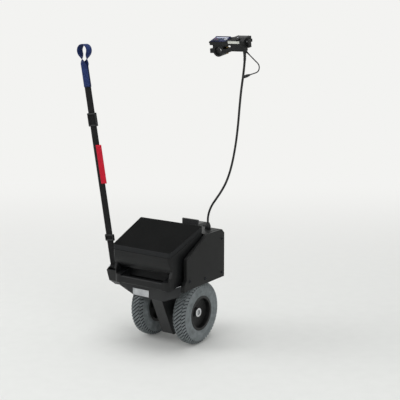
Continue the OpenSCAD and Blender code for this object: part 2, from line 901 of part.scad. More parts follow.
module front_cover() {
    color(black) difference() {
        side_plate(-tub_half, 2 * tub_half) cover_outline(0, 0);
        side_plate(-tub_half + tub_wall, 2 * (tub_half - tub_wall)) cover_outline(tub_wall, cut);
        for (i = [0:vent_count - 1])
            translate([(i - (vent_count - 1) / 2) * vent_pitch - vent_w / 2,
                cover_back + tub_wall + cover_gap, cover_top - tub_wall - cut])
                cube([vent_w, vent_l, tub_wall + 2 * cut]);
        translate([gland_x, cover_front - gland_behind, cover_top - tub_wall - cut])
            cylinder(r = gland_neck_r + fit, h = tub_wall + 2 * cut);
    }
}
module panel_outline() {
    rear_top = saddle(panel_back) + panel_rear_h;
    polygon(rounded([[skirt_back, saddle(skirt_back)], [skirt_back, floor_z - skirt_corner_drop],
        [tub_back, floor_z], [cover_front, floor_z], [cover_front, cover_top - cover_chamfer],
        [cover_front - cover_chamfer, cover_top], [cover_back, cover_top], [panel_back, rear_top],
        [panel_back, floor_z + panel_flare_h]],
        [panel_gap, panel_gap, 0, 0, panel_gap, panel_gap, panel_round, panel_round, panel_round]));
}
module side_panel_right() color(black) side_plate(tub_half, panel_t) panel_outline();
module side_panel_left() color(black) mirror([1, 0, 0]) side_plate(tub_half, panel_t) panel_outline();
module rear_skirt() {
    low = floor_z - skirt_drop;
    side = [[skirt_flat, low], [skirt_turn, floor_z - skirt_turn_drop],
        [tub_half, floor_z - skirt_corner_drop], [tub_half, saddle(skirt_back)],
        [skirt_dip_half, floor_z + skirt_dip]];
    color(black) union() {
        rear_plate(skirt_back, tub_wall)
            polygon(concat(side, [for (i = [len(side) - 1:-1:0]) [-side[i][0], side[i][1]]]));
        both_sides() span([tub_half - tub_wall, skirt_back, floor_z - skirt_corner_drop],
            [tub_half, tub_back, saddle(skirt_back) - skirt_corner_drop]);
    }
}
module bright_trim() {
    foot = [skirt_dip_half, floor_z + skirt_dip];
    head = [tub_half, saddle(skirt_back)];
    rise = [0, trim_t];
    color(steel) union() {
        translate([-plate_l, skirt_back - plate_t, floor_z - skirt_drop + plate_edge])
            cube([plate_l, plate_t, plate_h]);
        both_sides() rear_plate(skirt_back, tub_wall) polygon([foot, head, head + rise, foot + rise]);
    }
}
module case_screw(x, y) {
    translate([x, y, floor_z - flange_t - screw_head_h]) union() {
        cylinder(r = screw_head_r, h = screw_head_h);
        cylinder(r = case_screw_r, h = screw_head_h + flange_t + tub_wall);
    }
}
module case_screws() color(steel) for (y = flange_screw_ys()) both_sides() case_screw(flange_screw_x(), y);
module controller_board() {
    card = [-control_card_x - control_card_l, control_card_y, floor_z + tub_wall + post_h];
    color("#2f6b3c") union() {
        translate(card) cube([control_card_l, control_card_w, board_t]);
        for (k = [1, 2, 3])
            translate(card + [control_card_l * k / 4, control_card_w / 4, board_t / 2])
                cylinder(r = capacitor_r, h = capacitor_h);
        translate(card + [control_card_l / 8, control_card_w / 2, board_t / 2])
            cube([control_card_l * 3 / 4, sink_t, sink_h]);
    }
}
module contact_block() {
    color(dark_grey) span([-contact_half, contact_y - contact_d / 2, saddle(contact_y) - contact_down],
        [contact_half, contact_y + contact_d / 2, saddle(contact_y) + contact_up]);
}
module contact_blades() {
    color(brass) for (s = [-1, 1])
        translate([s * blade_side - blade_t / 2, contact_y - blade_w / 2, saddle(contact_y) + contact_up])
            cube([blade_t, blade_w, blade_h]);
}
module cable_gland() {
    color(black) translate([gland_x, cover_front - gland_behind, cover_top]) union() {
        cylinder(r = gland_r, h = gland_l / 2);
        translate([0, 0, gland_l / 2]) cylinder(r1 = gland_r, r2 = cable_r * relief_r_share, h = gland_l / 2);
        translate([0, 0, -gland_neck_l]) cylinder(r = gland_neck_r, h = gland_neck_l + gland_l / 2);
    }
}

// Frame hook, drawn round the cross tube's axis
module hook_outline() {
    back = cover_front + hook_plate_t - bar_c[0];
    reach = bar_r + hook_front_t;
    top = bar_r + hook_wall;
    difference() {
        union() {
            polygon(rounded([[back - cut, -hook_leg_down], [-bar_r, -hook_leg_down], [-bar_r, 0], [bar_r, 0],
                [bar_r, -hook_front_down], [reach, -hook_front_down], [reach, top], [back - cut, top]],
                [0, 0, 0, 0, 0, 0, hook_round, 0]));
            translate([back - hook_plate_t, -hook_plate_down])
                square([hook_plate_t, hook_plate_up + hook_plate_down]);
        }
        circle(bar_r);
    }
}
module frame_hook() {
    half = hook_w / 2;
    color(dark_grey) difference() {
        union() {
            side_plate(-half, hook_w) translate(bar_c) hook_outline();
            both_sides() side_plate(half - knuckle_l, knuckle_l) union() {
                translate(gate_c) circle(knuckle_r);
                translate(bar_c + [bar_r + cut, -gate_pin_down]) square([hook_front_t - cut, gate_pin_down]);
            }
        }
        rod_x(-hook_w, gate_c, pin_r + fit, 2 * hook_w);
    }
}
module hook_gate() {
    half = hook_w / 2 - knuckle_l - slip;
    tip = [bar_c[0] - gate_tip_back, bar_c[1] - hook_leg_down - slip];
    color(steel) difference() {
        side_plate(-half, 2 * half) union() {
            translate(gate_c) circle(knuckle_r);
            translate(tip - [0, gate_t]) square([gate_c[0] - tip[0], gate_t]);
            translate(tip - [0, gate_t + gate_tab]) square([gate_tab_t, gate_tab + cut]);
        }
        rod_x(-hook_w, gate_c, pin_r + run, 2 * hook_w);
    }
}

// Strap anchor: a wedge on the left side panel, with a slot that takes the webbing round a pin
module anchor_outline() {
    front = panel_back + anchor_front;
    low = floor_z - anchor_toe_down;
    high = floor_z + anchor_top_up;
    polygon([[panel_back - anchor_tip_back, floor_z + anchor_tip_up], [panel_back, floor_z - anchor_low_down],
        [front - anchor_toe_front, low], [front, low], [front, high], [front - anchor_slot_back, high]]);
}
module strap_anchor() {
    color(black) difference() {
        side_plate(anchor_x - anchor_w, anchor_w) anchor_outline();
        span([anchor_x - anchor_w + anchor_wall, panel_back - anchor_slot_back, floor_z + anchor_slot_up],
            [anchor_x - anchor_wall, panel_back + anchor_slot_front, floor_z + anchor_top_up + cut]);
        rod_x(anchor_x - anchor_w - cut, anchor_c, anchor_pin_r + fit, anchor_w + cut);
    }
}
module steel_pins() {
    color(steel) union() {
        rod_x(-hook_w / 2, gate_c, pin_r, hook_w);
        rod_x(-case_half, idler_c, idler_pin_r, case_half + out_end + slip);
        rod_x(anchor_x - anchor_w, anchor_c, anchor_pin_r, anchor_w);
        on_handle() across_lever(lever_half + lever_ear)
            cylinder(r = lever_pin_r, h = 2 * (lever_half + lever_ear));
    }
}

// Battery pack
module batt_plan(inset, corner = batt_corner) {
    rear = batt_rear_w / 2 - inset;
    front = batt_front_w / 2 - inset;
    back_y = batt_back + inset;
    front_y = batt_front - inset;
    polygon(rounded([[-rear, back_y], [rear, back_y], [front, front_y], [-front, front_y]],
        [corner - inset, corner - inset, batt_front_corner, batt_front_corner]));
}
module batt_column(inset) translate([0, 0, batt_low - batt_h]) linear_extrude(4 * batt_h) batt_plan(inset);
// A slab that follows the pack's slope, from one height above its underside to another
module batt_layer(low, high, back, front) {
    side_plate(-batt_front_w, 2 * batt_front_w)
        polygon([[back, saddle(back) + low], [front, saddle(front) + low], [front, saddle(front) + high],
            [back, saddle(back) + high]]);
}
module batt_shell() {
    intersection() {
        batt_column(0);
        side_plate(-batt_front_w, 2 * batt_front_w)
            polygon(rounded([[batt_back, saddle(batt_back)], [batt_front, saddle(batt_front)],
                [batt_front, saddle(batt_front) + batt_h], [batt_back, saddle(batt_back) + batt_h]],
                [batt_wall, batt_wall, batt_wall, ridge_round]));
    }
}
// A box through the whole height of the pack
module tall_box(half_w, y, half_d) {
    span([-half_w, y - half_d, batt_low - batt_h], [half_w, y + half_d, batt_low + 2 * batt_h]);
}
// The finger pocket: a roof that rounds in from the rear face, and a room below it that is open underneath.
// The roof's points are [y, z] pairs, moved into the pack by the thickness of its skin.
function scoop(skin_t) = [for (i = [0:scoop_steps])
    let (a = 90 * i / scoop_steps)
    [batt_back + pocket_deep - (pocket_deep - skin_t) * cos(a),
        batt_low + pocket_top - (scoop_h - skin_t) * sin(a)]];
module pocket_outline() {
    low = batt_low - grip_bar_h;
    polygon(concat([[batt_back - cut, batt_low + pocket_top]], scoop(0),
        [[batt_back + pocket_deep, low], [batt_back - cut, low]]));
}
// The part of the pocket that runs out through both flanks, above an edge that rises from the grip bar
module notch_outline() {
    far = (pocket_top - notch_low) / tan(notch_slope);
    intersection() {
        pocket_outline();
        translate([batt_back, batt_low])
            polygon([[-cut, notch_low - cut * tan(notch_slope)], [far, pocket_top], [-cut, pocket_top]]);
    }
}
module finger_pocket() {
    side_plate(-batt_front_w, 2 * batt_front_w) notch_outline();
    side_plate(-pocket_half, 2 * pocket_half) pocket_outline();
    side_plate(-pocket_wide, 2 * pocket_wide) intersection() {
        pocket_outline();
        translate([batt_back, batt_low])
            polygon([[-cut, arm_low], [arm_back, arm_high], [arm_back, pocket_top], [-cut, pocket_top]]);
    }
}
// What rounds the rear corners more below the pocket's roof
module low_corners() {
    rear = batt_rear_w / 2;
    both_sides() translate([0, 0, batt_low - batt_h]) linear_extrude(batt_h + pocket_top - scoop_h) difference() {
        translate([rear - low_corner, batt_back - cut])
            square([2 * low_corner, low_corner * low_corner_share + cut]);
        batt_plan(0, low_corner);
    }
}
module grip_bar() {
    foot = batt_low + grip_bar_round / 2;
    head = foot + grip_bar_h;
    front = batt_back + grip_bar_d;
    side_plate(-pocket_half - cut, 2 * (pocket_half + cut))
        polygon(rounded([[batt_back, foot], [front, foot], [front, head], [batt_back, head]],
            [grip_bar_round, grip_bar_round, grip_bar_round, grip_bar_round]));
}
module socket_hole(grow) {
    face = socket_sink - flank(socket_c[0]);
    rod_x(face, socket_c, socket_r + grow, socket_l);
    rod_x(face - socket_rim_t, socket_c, socket_rim_r + grow, socket_rim_t);
}
// The room inside the case, whose rear wall follows the scoop
module batt_room() {
    skin_t = 2 * batt_wall;
    front = batt_front - batt_wall;
    back = batt_back + pocket_deep + batt_wall;
    intersection() {
        batt_column(batt_wall);
        side_plate(-batt_front_w, 2 * batt_front_w)
            polygon(concat([[back, saddle(back) + batt_wall], [front, saddle(front) + batt_wall],
                [front, saddle(front) + batt_h], [batt_back, saddle(batt_back) + batt_h],
                [batt_back, batt_low + pocket_top + skin_t]], scoop(skin_t),
                [[back, batt_low + pocket_top - scoop_h + skin_t]]));
    }
}
module battery_case() {
    split = batt_h - lid_h;
    room_back = batt_back + pocket_deep + batt_wall;
    room_front = batt_front - batt_wall;
    color(black) difference() {
        union() {
            difference() {
                union() {
                    intersection() {
                        batt_shell();
                        batt_layer(-batt_h, split - seam_h, batt_back - cut, batt_front + cut);
                    }
                    intersection() {
                        batt_column(seam_in);
                        batt_layer(split - seam_h - cut, split, batt_back + seam_in, batt_front - seam_in);
                    }
                }
                batt_room();
                finger_pocket();
            }
            grip_bar();
            intersection() {
                batt_layer(batt_wall - cut, recess_h + batt_wall, room_back, room_front);
                tall_box(recess_half + batt_wall, contact_y, recess_d / 2 + batt_wall);
            }
            intersection() {
                batt_layer(batt_wall - cut, ridge_h + 2 * batt_wall, room_back, room_front);
                tall_box(ridge_half + 2 * batt_wall, ridge_y, ridge_t + batt_wall);
            }
        }
        intersection() {
            batt_layer(-batt_h, recess_h, room_back, room_front);
            tall_box(recess_half, contact_y, recess_d / 2);
        }
        intersection() {
            tall_box(ridge_half + ridge_room, ridge_y, ridge_t / 2 + ridge_room);
            batt_layer(-batt_h, ridge_h + batt_wall, room_back, room_front);
        }
        socket_hole(fit);
        low_corners();
        batt_layer(-cut, slip, tub_back - ridge_t, batt_front + cut);
    }
}
module battery_lid() {
    split = batt_h - lid_h;
    color(black) difference() {
        intersection() {
            batt_shell();
            batt_layer(split, 2 * batt_h, batt_back - cut, batt_front + cut);
        }
        intersection() {
            batt_column(2 * batt_wall);
            batt_layer(split - cut, batt_h - batt_wall, batt_back + 2 * batt_wall,
                batt_front - 2 * batt_wall);
        }
    }
}
function cell_y(j) = batt_front - batt_wall - cell_edge - cell_pitch * (j + 1 / 2);
module each_cell() {
    for (j = [0:cell_rows - 1]) for (i = [0:cell_columns - 1])
        translate([(i - (cell_columns - 1) / 2) * cell_pitch, cell_y(j), saddle(cell_y(j)) + cell_base])
            children();
}
module cells() color("#3f6fae") each_cell() cylinder(r = cell_r, h = cell_l, $fn = 32);
module batt_shelf(low, high) {
    intersection() {
        batt_column(batt_wall);
        batt_layer(low, high, batt_back + pocket_deep + batt_wall, batt_front - batt_wall);
    }
}
module cell_holders() {
    color(dark_grey) difference() {
        union() {
            batt_shelf(cell_base + holder_in, cell_base + holder_in + holder_t);
            batt_shelf(cell_base + cell_l - holder_in - holder_t, cell_base + cell_l - holder_in);
        }
        each_cell() translate([0, 0, -cut]) cylinder(r = cell_r + fit, h = cell_l + 2 * cut, $fn = 32);
    }
}
module battery_board() {
    low = cell_base + cell_l + board_rise;
    color("#2f6b3c") union() {
        batt_shelf(low, low + board_t);
        for (k = [-2:2])
            translate([k * 2 * cell_pitch - cell_r / 2, cell_y(2), saddle(cell_y(2)) + low + board_t / 2])
                cube([cell_r, cell_r, chip_h]);
    }
}
module charge_socket() {
    color(dark_grey) difference() {
        socket_hole(0);
        rod_x(-batt_rear_w, socket_c, socket_r - batt_wall, (batt_rear_w + socket_l) / 2);
    }
}

// Control unit, in a frame on the right handle tube's axis, with Y along the tube
module on_handle() translate(ctrl_o) rotate([handle_tilt, 0, 0]) children();
module deck_plan(inset) {
    half = ctrl_d / 2 - inset;
    left = -deck_left + inset;
    right = deck_right - inset;
    r = deck_round - inset;
    polygon(rounded([[left, -half], [right, -half], [right, half], [left, half]], [r, r, r, r]));
}
module deep_plan(inset) {
    translate([deep_left + inset, inset - ctrl_d / 2])
        square([deep_right - deep_left - 2 * inset, deep_d - 2 * inset]);
}
module clamp_block(low, high) {
    span([-ear_half, -clamp_l / 2, low], [ear_half, clamp_l / 2, high]);
}
module clamp_ring() {
    rotate([90, 0, 0]) translate([0, 0, -clamp_l / 2]) cylinder(r = handle_r + clamp_wall, h = clamp_l);
}
module tube_bore() {
    rotate([90, 0, 0]) translate([0, 0, -ctrl_d]) cylinder(r = handle_r, h = 2 * ctrl_d);
}
module bolt_holes() {
    for (s = [-1, 1])
        translate([s * bolt_side, 0, -ear_h - cut]) cylinder(r = bolt_r + fit, h = 2 * (ear_h + cut));
}
module control_base() {
    ring = handle_r + clamp_wall;
    color(black) on_handle() difference() {
        union() {
            clamp_block(0, ear_h);
            intersection() {
                clamp_ring();
                span([-ring, -clamp_l, 0], [ring, clamp_l, ring]);
            }
            span([-ring, -clamp_l / 2, 0], [ring, clamp_l / 2, deck_low + cut]);
            translate([0, 0, deck_low]) linear_extrude(deck_high - deck_low) deck_plan(0);
            translate([0, 0, deep_low]) linear_extrude(deck_low - deep_low + cut) deep_plan(0);
        }
        tube_bore();
        bolt_holes();
        translate([0, 0, deck_low + ctrl_wall]) linear_extrude(deck_high) deck_plan(ctrl_wall);
        translate([0, 0, deep_low + ctrl_wall]) linear_extrude(deck_high) deep_plan(ctrl_wall);
    }
}
module clamp_cap() {
    ring = handle_r + clamp_wall;
    color(black) on_handle() difference() {
        union() {
            clamp_block(-ear_h, -slip);
            intersection() {
                clamp_ring();
                span([-ring, -clamp_l, -ring], [ring, clamp_l, -slip]);
            }
        }
        tube_bore();
        bolt_holes();
    }
}
module clamp_bolts() {
    color(brass) on_handle() for (s = [-1, 1]) translate([s * bolt_side, 0, 0]) union() {
        translate([0, 0, -ear_h - bolt_head_h]) cylinder(r = bolt_head_r, h = bolt_head_h, $fn = 6);
        translate([0, 0, -ear_h - bolt_head_h]) cylinder(r = bolt_r, h = 2 * ear_h + 2 * bolt_head_h);
        translate([0, 0, ear_h]) cylinder(r = bolt_head_r, h = bolt_head_h, $fn = 6);
    }
}
// Side outlines of the sloped panel and of the raised box, as [along the tube, up]
module wedge_outline(inset) {
    half = ctrl_d / 2 - inset;
    low = deck_high - (inset > 0 ? cut : 0);
    high = deck_high + wedge_front_up - inset;
    polygon([[-half, low], [half, low], [half, high], [half - wedge_flat, high],
        [-half, deck_high + wedge_rear_up - inset]]);
}
module box_outline(inset) {
    half = ctrl_d / 2 - inset;
    low = deck_high - (inset > 0 ? cut : 0);
    high = deck_high + box_up - inset;
    polygon([[-half, low], [half, low], [half, high], [box_slope_in - half, high],
        [-half, high - box_slope_down]]);
}
// Places a child flat on the sloped panel, with Z off the panel and Y up its slope
module on_wedge(x, along) {
    run_l = ctrl_d - wedge_flat;
    a = atan2(wedge_front_up - wedge_rear_up, run_l);
    translate([x, along * cos(a) - ctrl_d / 2, deck_high + wedge_rear_up + along * sin(a)])
        rotate([a, 0, 0]) children();
}
module on_box_slope(x) {
    a = atan2(box_slope_down, box_slope_in);
    translate([x, (box_slope_in - ctrl_d) / 2, deck_high + box_up - box_slope_down / 2])
        rotate([a, 0, 0]) children();
}
// Places a child's Z across the tube along the lever's pin, from a distance ahead of the middle
module across_lever(ahead) translate([lever_c[0], ahead, lever_c[1]]) rotate([90, 0, 0]) children();
module control_top() {
    ear_t = lever_ear - slip;
    color(black) on_handle() difference() {
        union() {
            side_plate(-wedge_left, wedge_left + wedge_right) wedge_outline(0);
            side_plate(box_left, deck_right - box_left) box_outline(0);
            span([wedge_right - cut, -ctrl_d / 2, deck_high],
                [box_left + cut, ctrl_d / 2, deck_high + box_up - box_slope_down]);
            for (s = [-1, 1])
                translate([0, s * (lever_half + slip + ear_t / 2), 0])
                    span([deck_right - cut, -ear_t / 2, lever_c[1] - lever_hub_r],
                        [lever_c[0] + lever_hub_r, ear_t / 2, lever_c[1] + lever_hub_r]);
        }
        side_plate(ctrl_wall - wedge_left, wedge_left + wedge_right - 2 * ctrl_wall)
            wedge_outline(ctrl_wall);
        side_plate(box_left + ctrl_wall, deck_right - box_left - 2 * ctrl_wall) box_outline(ctrl_wall);
        on_wedge(button_x, fascia_l / 2)
            translate([0, 0, -button_h - cut]) cylinder(r = button_r + slip, h = 2 * button_h);
        on_box_slope(dial_x)
            translate([0, 0, -dial_post_l - cut]) cylinder(r = dial_post_r + run, h = dial_post_l + 2 * cut);
        across_lever(ctrl_d) cylinder(r = lever_pin_r + fit, h = 2 * ctrl_d);
    }
}
module control_fascia() {
    wide = wedge_left + wedge_right - 2 * fascia_edge;
    color("#3950a8") on_handle() difference() {
        on_wedge(-wedge_left + fascia_edge, 0)
            translate([0, fascia_edge / 2, 0]) cube([wide, fascia_l, fascia_t]);
        on_wedge(button_x, fascia_l / 2)
            translate([0, 0, -button_h]) cylinder(r = button_r + slip, h = 2 * button_h);
    }
}
module display_plate() {
    color("#e8e8e4") on_handle()
        translate([display_left, -ctrl_d / 2 - display_t, display_low])
            cube([display_w, display_t, display_h]);
}
module control_board() {
    color("#2f6b3c") on_handle() translate([0, 0, deck_low + ctrl_wall]) linear_extrude(ctrl_board_t)
        deck_plan(2 * ctrl_wall);
}
module speed_dial() {
    color(dark_grey) on_handle() on_box_slope(dial_x) difference() {
        union() {
            translate([0, 0, slip]) cylinder(r = dial_r, h = dial_h);
            translate([0, 0, -dial_post_l]) cylinder(r = dial_post_r, h = dial_post_l + 2 * slip);
        }
        for (k = [0:dial_flutes - 1]) rotate(360 * k / dial_flutes)
            translate([dial_r, 0, 2 * slip]) cylinder(r = dial_flute_r, h = dial_h, $fn = 16);
    }
}
module power_button() {
    color("#c9ccd0") on_handle() on_wedge(button_x, fascia_l / 2)
        translate([0, 0, fascia_t + button_proud - button_h]) cylinder(r = button_r, h = button_h);
}
module throttle_lever() {
    color(dark_grey) on_handle() difference() {
        union() {
            across_lever(lever_half) cylinder(r = lever_hub_r, h = 2 * lever_half);
            span([deck_right + lever_gap, -lever_half, lever_c[1] - lever_len],
                [deck_right + lever_gap + lever_t, lever_half, lever_c[1]]);
        }
        across_lever(ctrl_d) cylinder(r = lever_pin_r + run, h = 2 * ctrl_d);
    }
}

// Lift strap: a hand loop round the left grip, webbing down to the anchor, two sliders and a pull tab.
// In the strap's frame X runs across the webbing, Y off its rear face and Z down its run.
module on_strap(share) {
    o = strap_top + share * strap_run;
    multmatrix([for (i = [0:2]) [strap_across[i], strap_off[i], strap_way[i], o[i]]]) children();
}
// The loop's stations, each a centre and the direction across the webbing. Side 1 is the rear layer, which
// turns into the left leg, and side -1 is the front layer, which turns into the right leg.
loop_mid_r = grip_r + web_t / 2;
loop_wrap = asin(loop_mid_r / loop_drop);
function loop_tail(side, s) = [strap_top + s * strap_way + side * (web_t + fit) * strap_off, strap_across];
function loop_leg(side, t) =
    let (turn = 90 * t * t * (3 - 2 * t), foot = loop_tail(side, 0)[0])
    let (head = loop_o - loop_mid_r * [side * cos(loop_wrap), 0, sin(loop_wrap)])
    [foot + (head - foot) * t, [cos(turn), -sin(turn), 0]];
function loop_arc(t) =
    let (a = 180 + loop_wrap - (180 + 2 * loop_wrap) * t)
    [loop_o + loop_mid_r * [cos(a), 0, sin(a)], [0, -1, 0]];
function loop_stations() = concat(
    [loop_tail(1, tail_l)], [for (i = [0:loop_steps - 1]) loop_leg(1, i / loop_steps)],
    [for (i = [0:2 * loop_steps]) loop_arc(i / loop_steps / 2)],
    [for (i = [loop_steps - 1:-1:0]) loop_leg(-1, i / loop_steps)], [loop_tail(-1, tail_l)]);
module strap_loop() {
    stations = loop_stations();
    mids = [for (q = stations) q[0]];
    color("#2b3a78") skin([for (i = [0:len(mids) - 1]) for (s = [[-1, -1], [1, -1], [1, 1], [-1, 1]])
        let (across = stations[i][1], off = unit(cross(heading(mids, i), across)))
        mids[i] + s[0] * web_w / 2 * across + s[1] * web_t / 2 * off], 4);
}
module strap_web() {
    color(black) union() {
        on_strap(0) translate([-web_w / 2, -web_t / 2, web_t])
            cube([web_w, web_t, strap_l - anchor_pin_r - 2 * web_t]);
        ring_x(anchor_mid - web_w / 2, anchor_c, anchor_pin_r + web_t, anchor_pin_r + fit, web_w);
    }
}
module slider(share, l) {
    on_strap(share) difference() {
        translate([-slider_w / 2, -slider_t / 2, -l / 2]) cube([slider_w, slider_t, l]);
        translate([-web_w / 2 - fit, -web_t / 2 - fit, -l]) cube([web_w + 2 * fit, web_t + 2 * fit, 2 * l]);
    }
}
module strap_sliders() {
    color(black) union() {
        slider(slider_at_share, slider_l);
        slider(buckle_at_share, buckle_l);
    }
}
module pull_tab() {
    color("#b01838") on_strap(tab_at_share)
        translate([tab_shift - tab_w / 2, web_t / 2, 0]) cube([tab_w, tab_t, tab_l]);
}

// Cords
module main_cable() color(black) cord(cable_route, cable_r, cable_sides, cable_steps);
module pigtail() color(black) cord(pigtail_route, pigtail_r, pigtail_sides, pigtail_steps);
module pigtail_connector() {
    last = pigtail_route[len(pigtail_route) - 1];
    way = unit(last - pigtail_route[len(pigtail_route) - 2]);
    color(black) translate(last) rotate([0, acos(way[2]), atan2(way[1], way[0])]) union() {
        cylinder(r1 = pigtail_r * relief_r_share, r2 = plug_r, h = plug_neck_l);
        translate([0, 0, plug_neck_l]) cylinder(r = plug_r, h = plug_l);
    }
}

at_bar() base_tub();
at_bar() front_cover();
at_bar() side_panel_left();
at_bar() side_panel_right();
at_bar() rear_skirt();
at_bar() bright_trim();
at_bar() strap_anchor();
at_bar() steel_pins();
at_bar() case_screws();
at_bar() gear_case_left();
at_bar() gear_case_right();
at_bar() motor_can();
at_bar() motor_end_cap();
at_bar() motor_magnets();
at_bar() brush_gear();
at_bar() bearings();
at_bar() axle_seals();
at_bar() controller_board();
at_bar() contact_block();
at_bar() contact_blades();
at_bar() cable_gland();
at_bar() frame_hook();
at_bar() hook_gate();
at_bar() motor_shaft();
at_bar() armature();
at_bar() countershaft();
at_bar() countershaft_gear();
at_bar() idler_gear();
at_bar() output_gear();
at_bar() axle();
at_bar() axle_keys();
at_bar() rim_left();
at_bar() rim_right();
at_bar() tyre_left();
at_bar() tyre_right();
at_bar() hub_caps();
at_bar() axle_nuts();
at_bar() battery_case();
at_bar() battery_lid();
at_bar() cells();
at_bar() cell_holders();
at_bar() battery_board();
at_bar() charge_socket();
at_bar() control_base();
at_bar() clamp_cap();
at_bar() clamp_bolts();
at_bar() control_top();
at_bar() control_fascia();
at_bar() display_plate();
at_bar() control_board();
at_bar() speed_dial();
at_bar() power_button();
at_bar() throttle_lever();
at_bar() strap_loop();
at_bar() strap_web();
at_bar() strap_sliders();
at_bar() pull_tab();
at_bar() main_cable();
at_bar() pigtail();
at_bar() pigtail_connector();
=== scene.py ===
"""Looks of the clip-on power assist: drive unit, battery pack, handle control, lift strap and cords."""
import json
import math
import bmesh
import bpy
from mathutils import Matrix, Vector


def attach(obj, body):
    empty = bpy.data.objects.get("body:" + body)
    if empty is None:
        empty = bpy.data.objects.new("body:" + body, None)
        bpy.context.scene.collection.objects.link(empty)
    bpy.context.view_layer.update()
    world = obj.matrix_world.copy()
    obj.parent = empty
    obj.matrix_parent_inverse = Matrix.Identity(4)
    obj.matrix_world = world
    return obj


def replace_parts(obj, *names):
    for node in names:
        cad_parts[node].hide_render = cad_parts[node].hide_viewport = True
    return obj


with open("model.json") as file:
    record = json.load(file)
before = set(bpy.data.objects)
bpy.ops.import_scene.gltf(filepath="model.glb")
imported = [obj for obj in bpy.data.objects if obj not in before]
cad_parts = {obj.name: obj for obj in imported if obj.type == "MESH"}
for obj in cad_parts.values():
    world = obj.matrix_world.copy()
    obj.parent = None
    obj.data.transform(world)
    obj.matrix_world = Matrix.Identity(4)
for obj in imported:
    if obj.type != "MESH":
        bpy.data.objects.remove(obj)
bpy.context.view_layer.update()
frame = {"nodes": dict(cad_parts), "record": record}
NODES = frame["nodes"]

# The solids are drawn from the floor under the drive axle. The cross tube's axis, which is the frame's
# origin, is this far ahead of the axle and above the floor, in millimetres.
BAR_FORWARD = 115
BAR_HEIGHT = 330
UNIT = "drive_unit"


def at(x, y, z):
    """A point given in millimetres from the floor under the axle, in the frame's metres."""
    return Vector((x, y - BAR_FORWARD, z - BAR_HEIGHT)) / 1000


# Materials

def linear(code):
    """An sRGB hex colour as linear red, green, blue and alpha."""
    parts = [int(code[i:i + 2], 16) / 255 for i in (1, 3, 5)]
    return tuple(c / 12.92 if c <= 0.04045 else ((c + 0.055) / 1.055) ** 2.4 for c in parts) + (1.0,)


def add(tree, kind, ins=(), **settings):
    """Adds a node, sets its properties, and fills its inputs with constants or links."""
    node = tree.nodes.new(kind)
    for name, value in settings.items():
        setattr(node, name, value)
    for name, value in dict(ins).items():
        if isinstance(value, bpy.types.NodeSocket):
            tree.links.new(value, node.inputs[name])
        else:
            node.inputs[name].default_value = value
    return node


def start_material(name, **sockets):
    """A new material, its node tree and its shader, with the shader's constants set on its own sockets."""
    material = bpy.data.materials.new(name)
    material.use_nodes = True
    shader = material.node_tree.nodes["Principled BSDF"]
    for key, value in sockets.items():
        shader.inputs[key.replace("_", " ").title().replace("Ior", "IOR")].default_value = value
    return material, material.node_tree, shader


def grained(name, dark, light, blotch_mm, grain_mm, relief_mm, rough, stretch=(1, 1, 1), painted_side_light=None,
            **sockets):
    """A material whose colour drifts between two shades over blotches, with a fine grain in its surface and
    its gloss. The stretch lengthens the grain along an axis, as brushing or turning does. Faces that stand
    upright can take a colour of their own, so that light and shade are painted by which way a face is turned."""
    material, tree, shader = start_material(name, **sockets)
    coords = add(tree, "ShaderNodeTexCoord").outputs
    where = coords["Object"]
    drawn = add(tree, "ShaderNodeMapping", {"Vector": where, "Scale": stretch}).outputs["Vector"]
    blotch = add(tree, "ShaderNodeTexNoise", {"Vector": where, "Scale": 1000 / blotch_mm, "Detail": 4.0})
    grain = add(tree, "ShaderNodeTexNoise", {"Vector": drawn, "Scale": 1000 / grain_mm, "Detail": 2.0})
    shade = add(tree, "ShaderNodeMapRange", {"Value": blotch.outputs["Fac"], "From Min": 0.35,
                                             "From Max": 0.65})
    colour = add(tree, "ShaderNodeMix", {"Factor": shade.outputs["Result"], 6: linear(dark),
                                         7: linear(light)}, data_type="RGBA")
    # Painted light and shade: upright faces take their own colour, and flat tops keep the blotched one
    if painted_side_light:
        tilt = add(tree, "ShaderNodeSeparateXYZ", {0: coords["Normal"]}).outputs["Z"]
        painted_top_shade = add(tree, "ShaderNodeMapRange", {"Value": tilt, "From Min": 0.55, "From Max": 0.85})
        colour = add(tree, "ShaderNodeMix", {"Factor": painted_top_shade.outputs["Result"], 6: linear(painted_side_light),
                                             7: colour.outputs[2]}, data_type="RGBA")
    gloss = add(tree, "ShaderNodeMapRange", {"Value": grain.outputs["Fac"], "From Min": 0.3, "From Max": 0.7,
                                             "To Min": rough[0], "To Max": rough[1]})
    bump = add(tree, "ShaderNodeBump", {"Height": grain.outputs["Fac"], "Strength": 1.0,
                                        "Distance": relief_mm / 1000})
    tree.links.new(colour.outputs[2], shader.inputs["Base Color"])
    tree.links.new(gloss.outputs["Result"], shader.inputs["Roughness"])
    tree.links.new(bump.outputs["Normal"], shader.inputs["Normal"])
    return material


